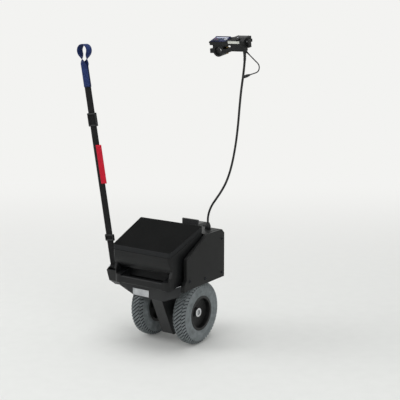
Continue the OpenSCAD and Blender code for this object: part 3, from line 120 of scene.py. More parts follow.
def webbing(name, dark, light, rib_mm, thread_mm):
    """Woven polyester webbing: ribs along the strap, crossed by a twill, from the piece's UV in metres."""
    material, tree, shader = start_material(name, roughness=0.82, sheen_weight=0.05, sheen_roughness=0.4,
                                            specular_ior_level=0.25)
    uv = add(tree, "ShaderNodeUVMap", uv_map="cloth").outputs["UV"]
    across, along = add(tree, "ShaderNodeSeparateXYZ", {0: uv}).outputs[:2]
    turn = 2000 * math.pi
    rib = add(tree, "ShaderNodeMath", {0: across, 1: turn / rib_mm}, operation="MULTIPLY")
    rib = add(tree, "ShaderNodeMath", {0: rib.outputs[0]}, operation="SINE")
    lean = add(tree, "ShaderNodeMath", {0: across, 1: along}, operation="ADD")
    pick = add(tree, "ShaderNodeMath", {0: lean.outputs[0], 1: turn / thread_mm}, operation="MULTIPLY")
    pick = add(tree, "ShaderNodeMath", {0: pick.outputs[0]}, operation="SINE")
    weave = add(tree, "ShaderNodeMath", {0: rib.outputs[0], 1: pick.outputs[0]}, operation="ADD")
    raised = add(tree, "ShaderNodeMapRange", {"Value": weave.outputs[0], "From Min": -1.6,
                                              "From Max": 1.6})
    fuzz = add(tree, "ShaderNodeTexNoise", {"Vector": add(tree, "ShaderNodeTexCoord").outputs["Object"],
                                            "Scale": 90.0, "Detail": 3.0})
    shade = add(tree, "ShaderNodeMath", {0: raised.outputs[0], 1: fuzz.outputs["Fac"]}, operation="MULTIPLY")
    colour = add(tree, "ShaderNodeMix", {"Factor": shade.outputs[0], 6: linear(dark), 7: linear(light)},
                 data_type="RGBA")
    bump = add(tree, "ShaderNodeBump", {"Height": raised.outputs[0], "Strength": 0.8, "Distance": 0.0004})
    tree.links.new(colour.outputs[2], shader.inputs["Base Color"])
    tree.links.new(bump.outputs["Normal"], shader.inputs["Normal"])
    return material


# Black ABS, moulded in a spark-eroded tool: a fine even grain whose pits trap light, so that it reflects
# about half of what smooth ABS does. The real grain is about 0.2 mm, drawn at 1.4 mm so that it shows.
abs_black = grained("abs_black", "#0d0e0f", "#141516", 60, 1.4, 0.05, (0.4, 0.54), specular_ior_level=0.28)
# The same ABS on the broad side panels, out of a finer tool: a little smoother and a shade darker
abs_panel = grained("abs_panel", "#0c0d0d", "#131414", 90, 1.6, 0.05, (0.38, 0.5), specular_ior_level=0.2)
# Black ABS with a coarser leather grain with deep pits on top of the battery pack's lid. Its top is painted
# darker still, with its reflection turned down, as painted shade, and the lid's sides are painted paler as
# painted light
abs_lid = grained("abs_lid", "#050606", "#090a0a", 70, 2.4, 0.12, (0.48, 0.6), painted_side_light="#292a2b",
                  specular_ior_level=0.05)
# The same ABS on the rear skirt, in a paler colour
abs_skirt = grained("abs_skirt", "#242527", "#2d2e2f", 50, 1.4, 0.05, (0.44, 0.56), specular_ior_level=0.28)
# Glass-filled nylon, moulded: dull dark grey with faint flow marks
nylon_dark = grained("nylon_dark", "#151617", "#1e1f21", 14, 1.2, 0.05, (0.46, 0.6),
                     specular_ior_level=0.35)
# Rim of moulded nylon, satin
nylon_rim = grained("nylon_rim", "#0a0b0b", "#111212", 25, 1.0, 0.03, (0.34, 0.46), specular_ior_level=0.35)
# Sprayed epoxy paint on cast aluminium: dark grey with orange peel about 2 mm across
cast_paint = grained("cast_paint", "#202122", "#2a2b2c", 45, 2.2, 0.08, (0.42, 0.52), coat_weight=0.1,
                     coat_roughness=0.3)
# Black stoving enamel on the rolled motor can
can_enamel = grained("can_enamel", "#0f1011", "#18191b", 40, 2.0, 0.04, (0.28, 0.36))
# Non-marking polyurethane rubber, moulded: cool grey, matt, with dust rubbed into it
tyre_rubber = grained("tyre_rubber", "#666c6e", "#7d8385", 18, 1.8, 0.12, (0.72, 0.86))
# The same rubber at the foot of the tread, darker for the dirt that stays there and for painted shade between
# the blocks
tyre_groove_dirt_and_shade = grained("tyre_groove_dirt_and_shade", "#232628", "#33373a", 9, 1.4, 0.12, (0.8, 0.92))
# Ground and oiled steel: bright, with fine streaks round the turned pieces
steel_ground = grained("steel_ground", "#9b9da0", "#b9bbbd", 12, 1.0, 0.01, (0.26, 0.42), (1, 6, 6),
                       metallic=1.0)
# Steel under bright zinc plate: pale and faintly clouded
steel_zinc = grained("steel_zinc", "#a9abad", "#c6c7c8", 5, 0.8, 0.01, (0.24, 0.36), metallic=1.0)
# Steel under black oxide: a dark metal with a dull shine
steel_black = grained("steel_black", "#26272a", "#34363a", 4, 0.8, 0.01, (0.34, 0.46), metallic=1.0)
# Polished nickel-chrome plate on the hub caps
chrome_cap = grained("chrome_cap", "#c9cacc", "#d6d7d8", 9, 1.5, 0.004, (0.1, 0.18), metallic=1.0)
# Aluminium sheet, brushed along its length and clear anodised
aluminium_brushed = grained("aluminium_brushed", "#a9abae", "#c4c6c8", 20, 1.2, 0.02, (0.3, 0.46),
                            (0.05, 1, 1), metallic=1.0)
# Aluminium as cast: grey, rough, slightly mottled
aluminium_cast = grained("aluminium_cast", "#85878a", "#9a9c9e", 6, 1.4, 0.08, (0.45, 0.6), metallic=1.0)
# Turned brass, dulled by handling
brass_turned = grained("brass_turned", "#8f7336", "#b3945a", 4, 0.8, 0.01, (0.28, 0.4), metallic=1.0)
# Enamelled copper wire, seen as a mass of turns about 1 mm apart
copper_wire = grained("copper_wire", "#7b3f1f", "#a35a2e", 4, 1.0, 0.15, (0.3, 0.45), metallic=0.7)
# Sintered ferrite, a dull dark ceramic
ferrite = grained("ferrite", "#2b2b2d", "#38383a", 8, 1.0, 0.05, (0.6, 0.75))
# Nitrile rubber of the shaft seals
nitrile = grained("nitrile", "#131313", "#1b1b1b", 8, 0.8, 0.03, (0.55, 0.7))
# Epoxy circuit board under green solder mask
solder_mask = grained("solder_mask", "#174a27", "#1f5e33", 9, 0.9, 0.03, (0.3, 0.42))
# Blue PVC sleeve shrunk on the cells
cell_sleeve = grained("cell_sleeve", "#2c4f8f", "#3863a8", 20, 2.0, 0.02, (0.25, 0.35))
# Polyester fascia film, printed navy on its back, with a satin face against glare
fascia_blue = grained("fascia_blue", "#0b1236", "#131d4c", 30, 1.5, 0.01, (0.34, 0.44),
                      specular_ior_level=0.25)
# The same film where it is printed pale
fascia_pale = grained("fascia_pale", "#c9cde0", "#dbdeea", 25, 1.5, 0.01, (0.28, 0.38))
# Pale translucent polycarbonate window
window_pale = grained("window_pale", "#c3c5bd", "#d6d7d0", 12, 1.2, 0.01, (0.22, 0.32))
# Tinted polycarbonate lamp lenses, moulded: clear gloss over a strong colour
lens_green = grained("lens_green", "#1d7a3a", "#2f9c50", 3, 0.9, 0.01, (0.12, 0.2))
lens_amber = grained("lens_amber", "#b8741a", "#d8952f", 3, 0.9, 0.01, (0.12, 0.2))
lens_red = grained("lens_red", "#9c1c1c", "#c23030", 3, 0.9, 0.01, (0.12, 0.2))
# Silicone rubber key caps
key_rubber = grained("key_rubber", "#8d9196", "#a3a7ab", 4, 0.8, 0.02, (0.5, 0.62))
# PVC cable jacket, extruded: black, smooth, faintly marked along its length
pvc_jacket = grained("pvc_jacket", "#0f0f10", "#171718", 20, 1.2, 0.02, (0.4, 0.52), specular_ior_level=0.35)
# Woven polyester webbing. The real ribs are about 1 mm apart, drawn at 2.5 mm so that they show.
web_black = webbing("web_black", "#060607", "#151517", 2.5, 3.0)
web_blue = webbing("web_blue", "#0d1a44", "#2a4688", 2.5, 3.0)
tape_red = webbing("tape_red", "#b00722", "#e8173c", 2.0, 2.6)
# Bonded polyester thread
thread_blue = grained("thread_blue", "#24396f", "#3a528f", 5, 0.5, 0.05, (0.6, 0.7))
thread_red = grained("thread_red", "#b51a33", "#cc2c46", 5, 0.5, 0.05, (0.6, 0.7))

SLOT_LOOKS = {
    "black_moulding": abs_black, "bright_plate": aluminium_brushed, "grey_paint": cast_paint,
    "motor_paint": can_enamel, "cast_cap": aluminium_cast, "magnet": ferrite, "brass": brass_turned,
    "steel": steel_ground, "cap_chrome": chrome_cap, "winding": copper_wire, "seal_rubber": nitrile,
    "circuit_board": solder_mask, "dark_moulding": nylon_dark, "rim_moulding": nylon_rim,
    "grey_tyre": tyre_rubber, "cell_sleeve": cell_sleeve, "control_moulding": abs_black,
    "fascia_film": fascia_blue, "pale_plate": window_pale, "button_cap": key_rubber,
    "webbing_blue": web_blue, "webbing_black": web_black, "webbing_red": tape_red, "cable_jacket": pvc_jacket,
}
NODE_LOOKS = {"side_panel_left": abs_panel, "side_panel_right": abs_panel, "battery_lid": abs_lid,
              "rear_skirt": abs_skirt, "case_screws": steel_zinc, "axle_nuts": steel_zinc}


# Camera, floor and light

FLOOR_Z = -BAR_HEIGHT / 1000
SENSOR = 36
EYE = Vector((1.6578, -2.3958, 0.6715))
AIM = Vector((0, 0.0245, 0.0851))
LENS = 85.2
LIGHT_AIM = Vector((0, 0, 0.1))
# Where the paper starts and ends its turn to near-white, in metres behind the cross tube
PAPER_FADE = (-0.6, 2.6)


def place_camera():
    camera = bpy.data.objects.new("camera", bpy.data.cameras.new("camera"))
    camera.data.lens = LENS
    camera.data.sensor_width = SENSOR
    camera.location = EYE
    camera.rotation_euler = (AIM - EYE).to_track_quat("-Z", "Y").to_euler()
    bpy.context.scene.collection.objects.link(camera)
    bpy.context.scene.camera = camera


def studio_paper():
    """Seamless studio paper: matt and pale. Towards the backdrop it turns into an even near-white that only
    the camera and clear reflections see, so it adds no light to the object."""
    material, tree, shader = start_material("studio_paper", roughness=0.93, specular_ior_level=0.1)
    where = add(tree, "ShaderNodeTexCoord").outputs["Object"]
    fibre = add(tree, "ShaderNodeTexNoise", {"Vector": where, "Scale": 25.0, "Detail": 3.0})
    colour = add(tree, "ShaderNodeMix", {"Factor": fibre.outputs["Fac"], 6: linear("#dbdcda"),
                                         7: linear("#e1e2e0")},
                 data_type="RGBA")
    tree.links.new(colour.outputs[2], shader.inputs["Base Color"])
    depth = add(tree, "ShaderNodeSeparateXYZ", {0: where}).outputs["Y"]
    fade = add(tree, "ShaderNodeMapRange", {"Value": depth, "From Min": PAPER_FADE[0],
                                            "From Max": PAPER_FADE[1]},
               interpolation_type="SMOOTHSTEP").outputs["Result"]
    rays = add(tree, "ShaderNodeLightPath").outputs
    seen = add(tree, "ShaderNodeMath", {0: rays["Is Camera Ray"], 1: rays["Is Glossy Ray"]}, operation="ADD")
    seen = add(tree, "ShaderNodeMath", {0: seen.outputs[0], 1: rays["Is Transmission Ray"]},
               operation="ADD", use_clamp=True)
    share = add(tree, "ShaderNodeMath", {0: seen.outputs[0], 1: fade}, operation="MULTIPLY")
    glow = add(tree, "ShaderNodeEmission", {"Color": linear("#f3f3f1"), "Strength": 1.0})
    both = add(tree, "ShaderNodeMixShader", {0: share.outputs[0], 1: shader.outputs[0], 2: glow.outputs[0]})
    tree.links.new(both.outputs[0], tree.nodes["Material Output"].inputs["Surface"])
    return material


def lay_floor():
    """A pale floor that curves up into a backdrop, well clear of the object and square to the camera."""
    half, near, back, bend, top, steps = 6.0, -6.0, 3.2, 1.5, 4.0, 16
    line = [(near, 0.0), (back, 0.0)]
    line += [(back + bend * math.sin(a), bend - bend * math.cos(a))
             for a in (math.pi / 2 * i / steps for i in range(1, steps + 1))]
    line.append((back + bend, top))
    verts = [(x, y, z) for y, z in line for x in (-half, half)]
    faces = [(2 * i, 2 * i + 1, 2 * i + 3, 2 * i + 2) for i in range(len(line) - 1)]
    mesh = bpy.data.meshes.new("floor")
    mesh.from_pydata(verts, [], faces)
    mesh.polygons.foreach_set("use_smooth", [True] * len(faces))
    mesh.materials.append(studio_paper())
    floor = bpy.data.objects.new("floor", mesh)
    floor.location = (0, 0, FLOOR_Z)
    floor.rotation_euler = (0, 0, math.atan2(EYE.x, -EYE.y))
    bpy.context.scene.collection.objects.link(floor)


def light(name, place, size, watts):
    lamp = bpy.data.objects.new(name, bpy.data.lights.new(name, "AREA"))
    lamp.data.shape = "DISK"
    lamp.data.size = size
    lamp.data.energy = watts
    lamp.location = place
    lamp.rotation_euler = (LIGHT_AIM - Vector(place)).to_track_quat("-Z", "Y").to_euler()
    bpy.context.scene.collection.objects.link(lamp)


def light_scene():
    light("soft_top", (0.2, -0.4, 3.2), 2.6, 58)
    light("soft_left", (-2.8, -2.2, 1.6), 2.4, 54)
    light("soft_right", (3.0, -1.6, 1.4), 2.0, 25)
    world = bpy.data.worlds.new("studio")
    world.use_nodes = True
    sky = world.node_tree.nodes["Background"].inputs
    sky["Color"].default_value = linear("#f4f5f4")
    sky["Strength"].default_value = 0.52
    bpy.context.scene.world = world
    bpy.context.scene.view_settings.view_transform = "Standard"


# Making pieces

def add_piece(name, mesh, material, body, smooth=True):
    """An object from a mesh in the frame's metres, which rides on a body and takes a slot's finish."""
    if smooth:
        mesh.polygons.foreach_set("use_smooth", [True] * len(mesh.polygons))
    mesh.materials.append(material)
    piece = bpy.data.objects.new(name, mesh)
    bpy.context.scene.collection.objects.link(piece)
    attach(piece, body)
    return piece


def from_bmesh(name, bm):
    bmesh.ops.recalc_face_normals(bm, faces=bm.faces)
    mesh = bpy.data.meshes.new(name)
    bm.to_mesh(mesh)
    bm.free()
    return mesh


def round_edges(piece, width_mm, segments=2, angle=40):
    """Soft moulded or tumbled edges. The triangles of a flat face are joined first."""
    weld = piece.modifiers.new("weld", "WELD")
    weld.merge_threshold = 2e-6
    flat = piece.modifiers.new("flat", "DECIMATE")
    flat.decimate_type = "DISSOLVE"
    flat.angle_limit = math.radians(0.5)
    bevel = piece.modifiers.new("edges", "BEVEL")
    bevel.width = width_mm / 1000
    bevel.segments = segments
    bevel.limit_method = "ANGLE"
    bevel.angle_limit = math.radians(angle)
    bevel.harden_normals = True


def add_box(bm, low, high, matrix=Matrix.Identity(4), bevel=0.0):
    """A box between two corners, in its own axes, with rounded edges."""
    box = bmesh.ops.create_cube(bm, size=1.0)["verts"]
    low, high = Vector(low), Vector(high)
    for v in box:
        v.co = Vector(((low[i] + high[i]) / 2 + v.co[i] * (high[i] - low[i]) for i in range(3)))
    if bevel:
        edges = list({e for v in box for e in v.link_edges})
        rounds = bmesh.ops.bevel(bm, geom=edges, offset=bevel, segments=2, affect="EDGES", profile=0.5)
        box = list({v for f in rounds["faces"] for v in f.verts} | {v for v in box if v.is_valid})
    bmesh.ops.transform(bm, matrix=matrix, verts=box)


def add_turned(bm, outline, matrix, segments=24):
    """A solid of revolution about the local Z axis, from [radius, height] points. Ends on the axis close."""
    rings = []
    for r, h in outline:
        if r == 0:
            rings.append([bm.verts.new(matrix @ Vector((0, 0, h)))])
        else:
            rings.append([bm.verts.new(matrix @ Vector((r * math.cos(a), r * math.sin(a), h)))
                          for a in (2 * math.pi * k / segments for k in range(segments))])
    for low, high in zip(rings, rings[1:]):
        for k in range(segments):
            q = (k + 1) % segments
            corners = [low[k % len(low)], low[q % len(low)], high[q % len(high)], high[k % len(high)]]
            unique = list(dict.fromkeys(corners))
            if len(unique) > 2:
                bm.faces.new(unique)


def facing(place, normal):
    """A matrix that puts local Z along a direction at a place."""
    return Matrix.Translation(Vector(place)) @ Vector(normal).to_track_quat("Z", "Y").to_matrix().to_4x4()


# Cords: the control unit's lead down to the drive unit, and its short spare lead with a plug

MAIN_CABLE = [(90, 50, 370), (91, 50, 388), (96, 50, 407), (107, 48, 427), (124, 44, 448), (145, 38, 473),
              (168, 29, 504), (190, 17, 542), (210, 3, 586), (229, -13, 636), (246, -30, 688),
              (261, -47, 738), (275, -62, 784), (287.5, -73.5, 822), (297.5, -83.5, 853),
              (303.3, -90.2, 878), (304, -92.9, 894.7)]
PIGTAIL = [(303.5, -85, 894.8), (309.7, -85, 889.7), (315.8, -85, 884.6), (322, -85, 879.4),
           (328.1, -85, 874.3), (334.3, -85, 869.2), (340.5, -85, 864.1), (344.4, -85, 859.1),
           (345.9, -85, 852.9), (344.7, -85, 846.7), (341.1, -85, 841.5), (335.6, -85, 838.3),
           (328.9, -85, 836.1), (322.3, -85, 834), (316.1, -85, 831.9)]
MAIN_CABLE_D = 0.0066
PIGTAIL_D = 0.0032
CORD_STEPS = 8


def smooth_route(route):
    """The same curve through the route's points that the solid follows, finely stepped."""
    pts = [at(*p) for p in route]
    out = []
    for i in range(len(pts) - 1):
        a, b, c, d = pts[max(0, i - 1)], pts[i], pts[i + 1], pts[min(len(pts) - 1, i + 2)]
        for k in range(CORD_STEPS):
            t = k / CORD_STEPS
            out.append(b + (c - a) * t / 2 + (2 * a - 5 * b + 4 * c - d) * t * t / 2
                       + (3 * b - a - 3 * c + d) * t * t * t / 2)
    return out + [pts[-1]]


def add_cord(name, route, diameter, node):
    line = smooth_route(route)
    curve = bpy.data.curves.new(name, "CURVE")
    curve.dimensions = "3D"
    curve.bevel_depth = diameter / 2
    curve.bevel_resolution = 3
    curve.use_fill_caps = True
    spline = curve.splines.new("POLY")
    spline.points.add(len(line) - 1)
    for point, place in zip(spline.points, line):
        point.co = (*place, 1)
    spline.use_smooth = True
    curve.materials.append(pvc_jacket)
    cord = bpy.data.objects.new(name, curve)
    bpy.context.scene.collection.objects.link(cord)
    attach(cord, UNIT)
    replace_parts(cord, node)
    return cord, line, sum((b - a).length for a, b in zip(line, line[1:]))


# The plug as [radius, distance past the lead's end] in metres: its neck's ribs, and its body up to the open
# end's floor
PLUG_NECK = [(0, 0), (0.0026, 0), (0.0029, 0.0008), (0.0025, 0.0018), (0.0032, 0.0025), (0.0028, 0.0035),
             (0.0035, 0.0042), (0.0031, 0.0052)]
PLUG_BODY = [(0.0039, 0.0066), (0.0042, 0.0072), (0.0042, 0.0130), (0.0038, 0.0134), (0.0038, 0.0141),
             (0.0042, 0.0145), (0.0042, 0.0186), (0.0038, 0.0190), (0.0031, 0.0190), (0.0031, 0.0150),
             (0, 0.0150)]


def add_plug(line):
    """The spare lead's round plug: a ribbed grip, a collar and an open end."""
    way = (line[-1] - line[-2]).normalized()
    bm = bmesh.new()
    add_turned(bm, PLUG_NECK + PLUG_BODY, facing(line[-1], way))
    plug = add_piece("pigtail_plug", from_bmesh("pigtail_plug", bm), nylon_dark, UNIT)
    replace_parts(plug, "pigtail_connector")
    return plug


RELIEF_SIDES = 20
RELIEF_RIBS = 6
# The stretch of a strain relief that has ribs, the part of each rib's pitch before its groove, and the
# groove's radius, as shares
RIBBED_FROM, RIBBED_TO, RIB_FILL, GROOVE = 0.12, 0.95, 0.6, 0.8


def add_relief(name, line, length, thick, thin):
    """A ribbed strain relief that tapers along the first stretch of a cord's line, in metres."""
    bm = bmesh.new()
    rings, run = [], 0.0
    for i in range(len(line) - 1):
        way = (line[i + 1] - line[i]).normalized()
        side = way.cross(Vector((0, 1, 0))).normalized()
        other = way.cross(side)
        step = (line[i + 1] - line[i]).length
        cuts = max(1, math.ceil(step / (length / RELIEF_RIBS / 4)))
        for k in range(cuts):
            share = (run + step * k / cuts) / length
            if share > 1:
                break
            sunk = RIBBED_FROM < share < RIBBED_TO and (share * RELIEF_RIBS) % 1 > RIB_FILL
            r = (thick + (thin - thick) * share) * (GROOVE if sunk else 1.0)
            mid = line[i].lerp(line[i + 1], k / cuts)
            rings.append([bm.verts.new(mid + r * (math.cos(a) * side + math.sin(a) * other))
                          for a in (2 * math.pi * q / RELIEF_SIDES for q in range(RELIEF_SIDES))])
        run += step
    for a, b in zip(rings, rings[1:]):
        for q in range(RELIEF_SIDES):
            after = (q + 1) % RELIEF_SIDES
            bm.faces.new((a[q], a[after], b[after], b[q]))
    bm.faces.new(rings[0])
    bm.faces.new(rings[-1])
    add_piece(name, from_bmesh(name, bm), nylon_dark, UNIT)


place_camera()
lay_floor()
light_scene()
cable, cable_line, cable_l = add_cord("main_lead", MAIN_CABLE, MAIN_CABLE_D, "main_cable")
pigtail, pigtail_line, pigtail_l = add_cord("spare_lead", PIGTAIL, PIGTAIL_D, "pigtail")
add_plug(pigtail_line)
add_relief("lead_relief", cable_line[::-1], 0.026, 0.0046, 0.0036)
add_relief("spare_relief", pigtail_line, 0.014, 0.0030, 0.0018)


# Lift strap. Its frame has X across the webbing, Y off its rear face and Z down its run.

WEB_W = 25
WEB_T = 2
GRIP_R = 17
LOOP_DROP = 46
TAIL_L = 62
LOOP_TOP = Vector((-220, -143, 887))
STRAP_TOP = LOOP_TOP + Vector((0, 0, -LOOP_DROP))
STRAP_END = Vector((-146.5, -113, 232))
STRAP_WAY = (STRAP_END - STRAP_TOP).normalized()
STRAP_L = (STRAP_END - STRAP_TOP).length
STRAP_ACROSS = (Vector((1, 0, 0)) - STRAP_WAY.x * STRAP_WAY).normalized()
STRAP_OFF = STRAP_WAY.cross(STRAP_ACROSS)
PIN_R = 4
# Free height between the loop's layers and the webbing, and under the pull tab
LAYER_GAP = 0.03
TAB_GAP = 0.05
# A stitch's pitch, the share of it left free at each end, and a thread's middle above the cloth
STITCH = 4
STITCH_SKIP = 0.15
THREAD_UP = 0.15
# The hand loop's two sewn boxes: half their width, and their ends down the strap
BOX_HALF = 9.5
LOOP_BOXES = [(10, 32), (36, 57)]
# The pull tab, whose middle stands to the right of the strap's, and how far its seams stay from its sides
TAB_W, TAB_L, TAB_T = 22, 118, 1.6
TAB_X = 10
TAB_SEAM_IN = 2
# Where the pull tab and the two buckles are, as shares of the strap's length
TAB_SHARE = 0.385
BUCKLE_SHARES = (0.26, 0.85)
BUCKLE_LENGTHS = (40, 20)


def strap_matrix(down):
    """The strap's frame at a distance down its run, as a matrix from millimetres to the frame's metres."""
    o = at(*(STRAP_TOP + down * STRAP_WAY))
    axes = [a / 1000 for a in (STRAP_ACROSS, STRAP_OFF, STRAP_WAY)]
    return Matrix([[axes[0][i], axes[1][i], axes[2][i], o[i]] for i in range(3)] + [[0, 0, 0, 1]])


def add_band(name, stations, width, thick, material):
    """Webbing along a row of stations, each a centre and the direction across it, in millimetres. Its section
    has rounded selvedges, and its UV runs across and along the cloth in metres."""
    section = [(-0.5, 0), (-0.485, 0.35), (-0.45, 0.5), (-0.15, 0.5), (0.15, 0.5), (0.45, 0.5),
               (0.485, 0.35), (0.5, 0), (0.485, -0.35), (0.45, -0.5), (0.15, -0.5), (-0.15, -0.5),
               (-0.45, -0.5), (-0.485, -0.35)]
    bm = bmesh.new()
    uv = bm.loops.layers.uv.new("cloth")
    mids = [c for c, _ in stations]
    rings, run, place = [], 0.0, {}
    for i, (mid, across) in enumerate(stations):
        way = (mids[min(i + 1, len(mids) - 1)] - mids[max(i - 1, 0)]).normalized()
        off = way.cross(across).normalized()
        run += (mids[i] - mids[i - 1]).length if i else 0.0
        ring = []
        for u, v in section:
            vert = bm.verts.new(at(*(mid + across * u * width + off * v * thick)))
            place[vert] = (u * width / 1000, run / 1000)
            ring.append(vert)
        rings.append(ring)
    n = len(section)
    faces = [bm.faces.new((a[k], a[(k + 1) % n], b[(k + 1) % n], b[k]))
             for a, b in zip(rings, rings[1:]) for k in range(n)]
    faces += [bm.faces.new(reversed(rings[0])), bm.faces.new(rings[-1])]
    for face in faces:
        for loop in face.loops:
            loop[uv].uv = place[loop.vert]
    return add_piece(name, from_bmesh(name, bm), material, UNIT)


def loop_stations():
    """The hand loop: up the rear layer, round the grip with a quarter turn in each leg, down the front."""
    mid_r = GRIP_R + WEB_T / 2
    wrap = math.asin(mid_r / LOOP_DROP)
    tail_steps, leg_steps, arc_steps = 8, 12, 24

    def tail(side, down):
        return STRAP_TOP + down * STRAP_WAY + side * (WEB_T + LAYER_GAP) * STRAP_OFF, STRAP_ACROSS

    def leg(side, t):
        turn = math.pi / 2 * t * t * (3 - 2 * t)
        foot = tail(side, 0)[0]
        head = LOOP_TOP - mid_r * Vector((side * math.cos(wrap), 0, math.sin(wrap)))
        return foot + (head - foot) * t, Vector((math.cos(turn), -math.sin(turn), 0))

    def arc(t):
        a = math.pi + wrap - (math.pi + 2 * wrap) * t
        return LOOP_TOP + mid_r * Vector((math.cos(a), 0, math.sin(a))), Vector((0, -1, 0))

    return ([tail(1, TAIL_L * (1 - i / tail_steps)) for i in range(tail_steps)]
            + [leg(1, i / leg_steps) for i in range(leg_steps)]
            + [arc(i / arc_steps) for i in range(arc_steps + 1)]
            + [leg(-1, 1 - (i + 1) / leg_steps) for i in range(leg_steps)]
            + [tail(-1, TAIL_L * (i + 1) / tail_steps) for i in range(tail_steps)])


def web_stations():
    """The black webbing, from inside the sewn tail down to the anchor pin."""
    steps = 60
    stop = STRAP_L - PIN_R - WEB_T / 2
    return [(STRAP_TOP + d * STRAP_WAY, STRAP_ACROSS)
            for d in (WEB_T + (stop - WEB_T) * i / steps for i in range(steps + 1))]


def add_stitches(name, rows, material):
    """Rows of stitches in the strap's frame, each row two ends in millimetres."""
    bm = bmesh.new()
    for a, b in rows:
        a, b = Vector(a), Vector(b)
        count = max(1, round((b - a).length / STITCH))
        for k in range(count):
            p, q = a.lerp(b, (k + STITCH_SKIP) / count), a.lerp(b, (k + 1 - STITCH_SKIP) / count)
            span = (q - p).length
            turn = (q - p).to_track_quat("Z", "Y").to_matrix().to_4x4()
            matrix = strap_matrix(0) @ Matrix.Translation(p) @ turn
            thread = [(0, 0), (0.35, 0.2), (0.5, 0.9), (0.5, span - 0.9), (0.35, span - 0.2), (0, span)]
            add_turned(bm, thread, matrix, 6)
    return add_piece(name, from_bmesh(name, bm), material, UNIT)


def box_and_cross(left, right, high, low, off):
    """The rows of a sewn box with its two diagonals."""
    corners = [(left, off, high), (right, off, high), (right, off, low), (left, off, low)]
    sides = [(corners[i], corners[(i + 1) % 4]) for i in range(4)]
    return sides + [(corners[0], corners[2]), (corners[1], corners[3])]


def add_slider(bm, down, length):
    """A moulded ladder buckle: two side rails and three rounded bars that the webbing weaves past."""
    matrix = strap_matrix(down)
    half, rail, thick, bar_half, bar_in = 16.3, 3.4, 3.6, 2.4, 2.5
    reach = half - rail + 0.5
    for s in (-1, 1):
        x = sorted((s * half, s * (half - rail)))
        add_box(bm, (x[0], -thick, -length / 2), (x[1], thick, length / 2), matrix, 1.2)
    for place, side in ((-0.5, 1), (0, -1), (0.5, 1)):
        z = place * (length - 2 * bar_in)
        low, high = sorted((side * 1.1, side * (thick + 0.2)))
        add_box(bm, (-reach, low, z - bar_half), (reach, high, z + bar_half), matrix, 1.0)


def dress_strap():
    loop = add_band("hand_loop", loop_stations(), WEB_W, WEB_T, web_blue)
    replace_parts(loop, "strap_loop")
    web = add_band("lift_webbing", web_stations(), WEB_W, WEB_T, web_black)
    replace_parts(web, "strap_web")
    ring_steps = 32
    ring = [(STRAP_END + (PIN_R + WEB_T / 2) * Vector((0, math.cos(a), math.sin(a))), Vector((-1, 0, 0)))
            for a in (2 * math.pi * i / ring_steps for i in range(ring_steps + 1))]
    add_band("lift_webbing_end", ring, WEB_W, WEB_T, web_black)
    tab_top, tab_steps = TAB_SHARE * STRAP_L, 30
    lift = (WEB_T / 2 + TAB_T / 2 + TAB_GAP) * STRAP_OFF
    tab = [(STRAP_TOP + (tab_top + d) * STRAP_WAY + TAB_X * STRAP_ACROSS + lift, STRAP_ACROSS)
           for d in (TAB_L * i / tab_steps for i in range(tab_steps + 1))]
    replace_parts(add_band("red_tab", tab, TAB_W, TAB_T, tape_red), "pull_tab")
    off = WEB_T * 1.5 + THREAD_UP
    rows = [row for high, low in LOOP_BOXES for row in box_and_cross(-BOX_HALF, BOX_HALF, high, low, off)]
    add_stitches("loop_stitches", rows, thread_blue)
    face = WEB_T / 2 + TAB_T + THREAD_UP
    left, right = TAB_X - TAB_W / 2 + TAB_SEAM_IN, TAB_X + TAB_W / 2 - TAB_SEAM_IN
    rows = [((x, face, tab_top + 3), (x, face, tab_top + TAB_L - 3)) for x in (left, right)]
    rows += [((left, face, tab_top + d), (right, face, tab_top + d)) for d in (4, 12, TAB_L - 4)]
    add_stitches("tab_stitches", rows, thread_red)
    bm = bmesh.new()
    for share, length in zip(BUCKLE_SHARES, BUCKLE_LENGTHS):
        add_slider(bm, share * STRAP_L, length)
    buckles = add_piece("ladder_buckles", from_bmesh("ladder_buckles", bm), nylon_dark, UNIT,
                        False)
    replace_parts(buckles, "strap_sliders")


dress_strap()


# Tyres: a smooth carcass with ribbed side walls, and a moulded block tread

TYRE_R = 98
TYRE_HALF = 24
RIM_R = 54.03
TYRE_Z = 98
TYRE_X = 79
TYRE_STEPS = 120
# How square the section's corners are, and how full its flanks, as powers of its curve
CORNER_SHARE = 0.62
FLANK_SHARE = 0.42
# Half width of the band that the tread covers, and the width over which it fades to the side wall
CROWN_HALF = 22.4
CROWN_FADE = 1.6
CROWN_STEPS = 22
TREAD_DEEP = 4.6
TREAD_COUNT = 52
# The share of the tyre's radius beyond which a face can lie in the tread
TREAD_FROM = 0.8
# Rows of blocks: inner and outer distance from the middle, share of the pitch that a block fills, stagger
TREAD_ROWS = [(0.3, 12.6, 0.6, 0.0), (14.0, 21.2, 0.58, 0.5)]
# How far the blocks lean round the tyre, in pitches for each millimetre across it
TREAD_SKEW = -0.078


def tyre_radius(x):
    """The solid tyre's outer radius at a distance from its middle plane."""
    c = min(1.0, abs(x) / TYRE_HALF) ** (1 / CORNER_SHARE)
    return RIM_R + (TYRE_R - RIM_R) * math.sqrt(max(0.0, 1 - c * c)) ** FLANK_SHARE


def carcass_radius(x):
    """The radius at the foot of the tread."""
    fade = min(1.0, max(0.0, (CROWN_HALF - abs(x)) / CROWN_FADE))
    return tyre_radius(x) - TREAD_DEEP * fade


# One side wall, from the tread to the rim, as [radius, distance from the middle]
WALL = [(78.5, 23.2), (78.0, 23.75), (76.5, 23.75), (76.0, 23.3), (68.0, 23.6), (67.5, 23.95), (66.0, 23.95),
        (65.5, 23.5), (58.0, 22.8), (55.5, 22.2), (RIM_R, 21.6)]


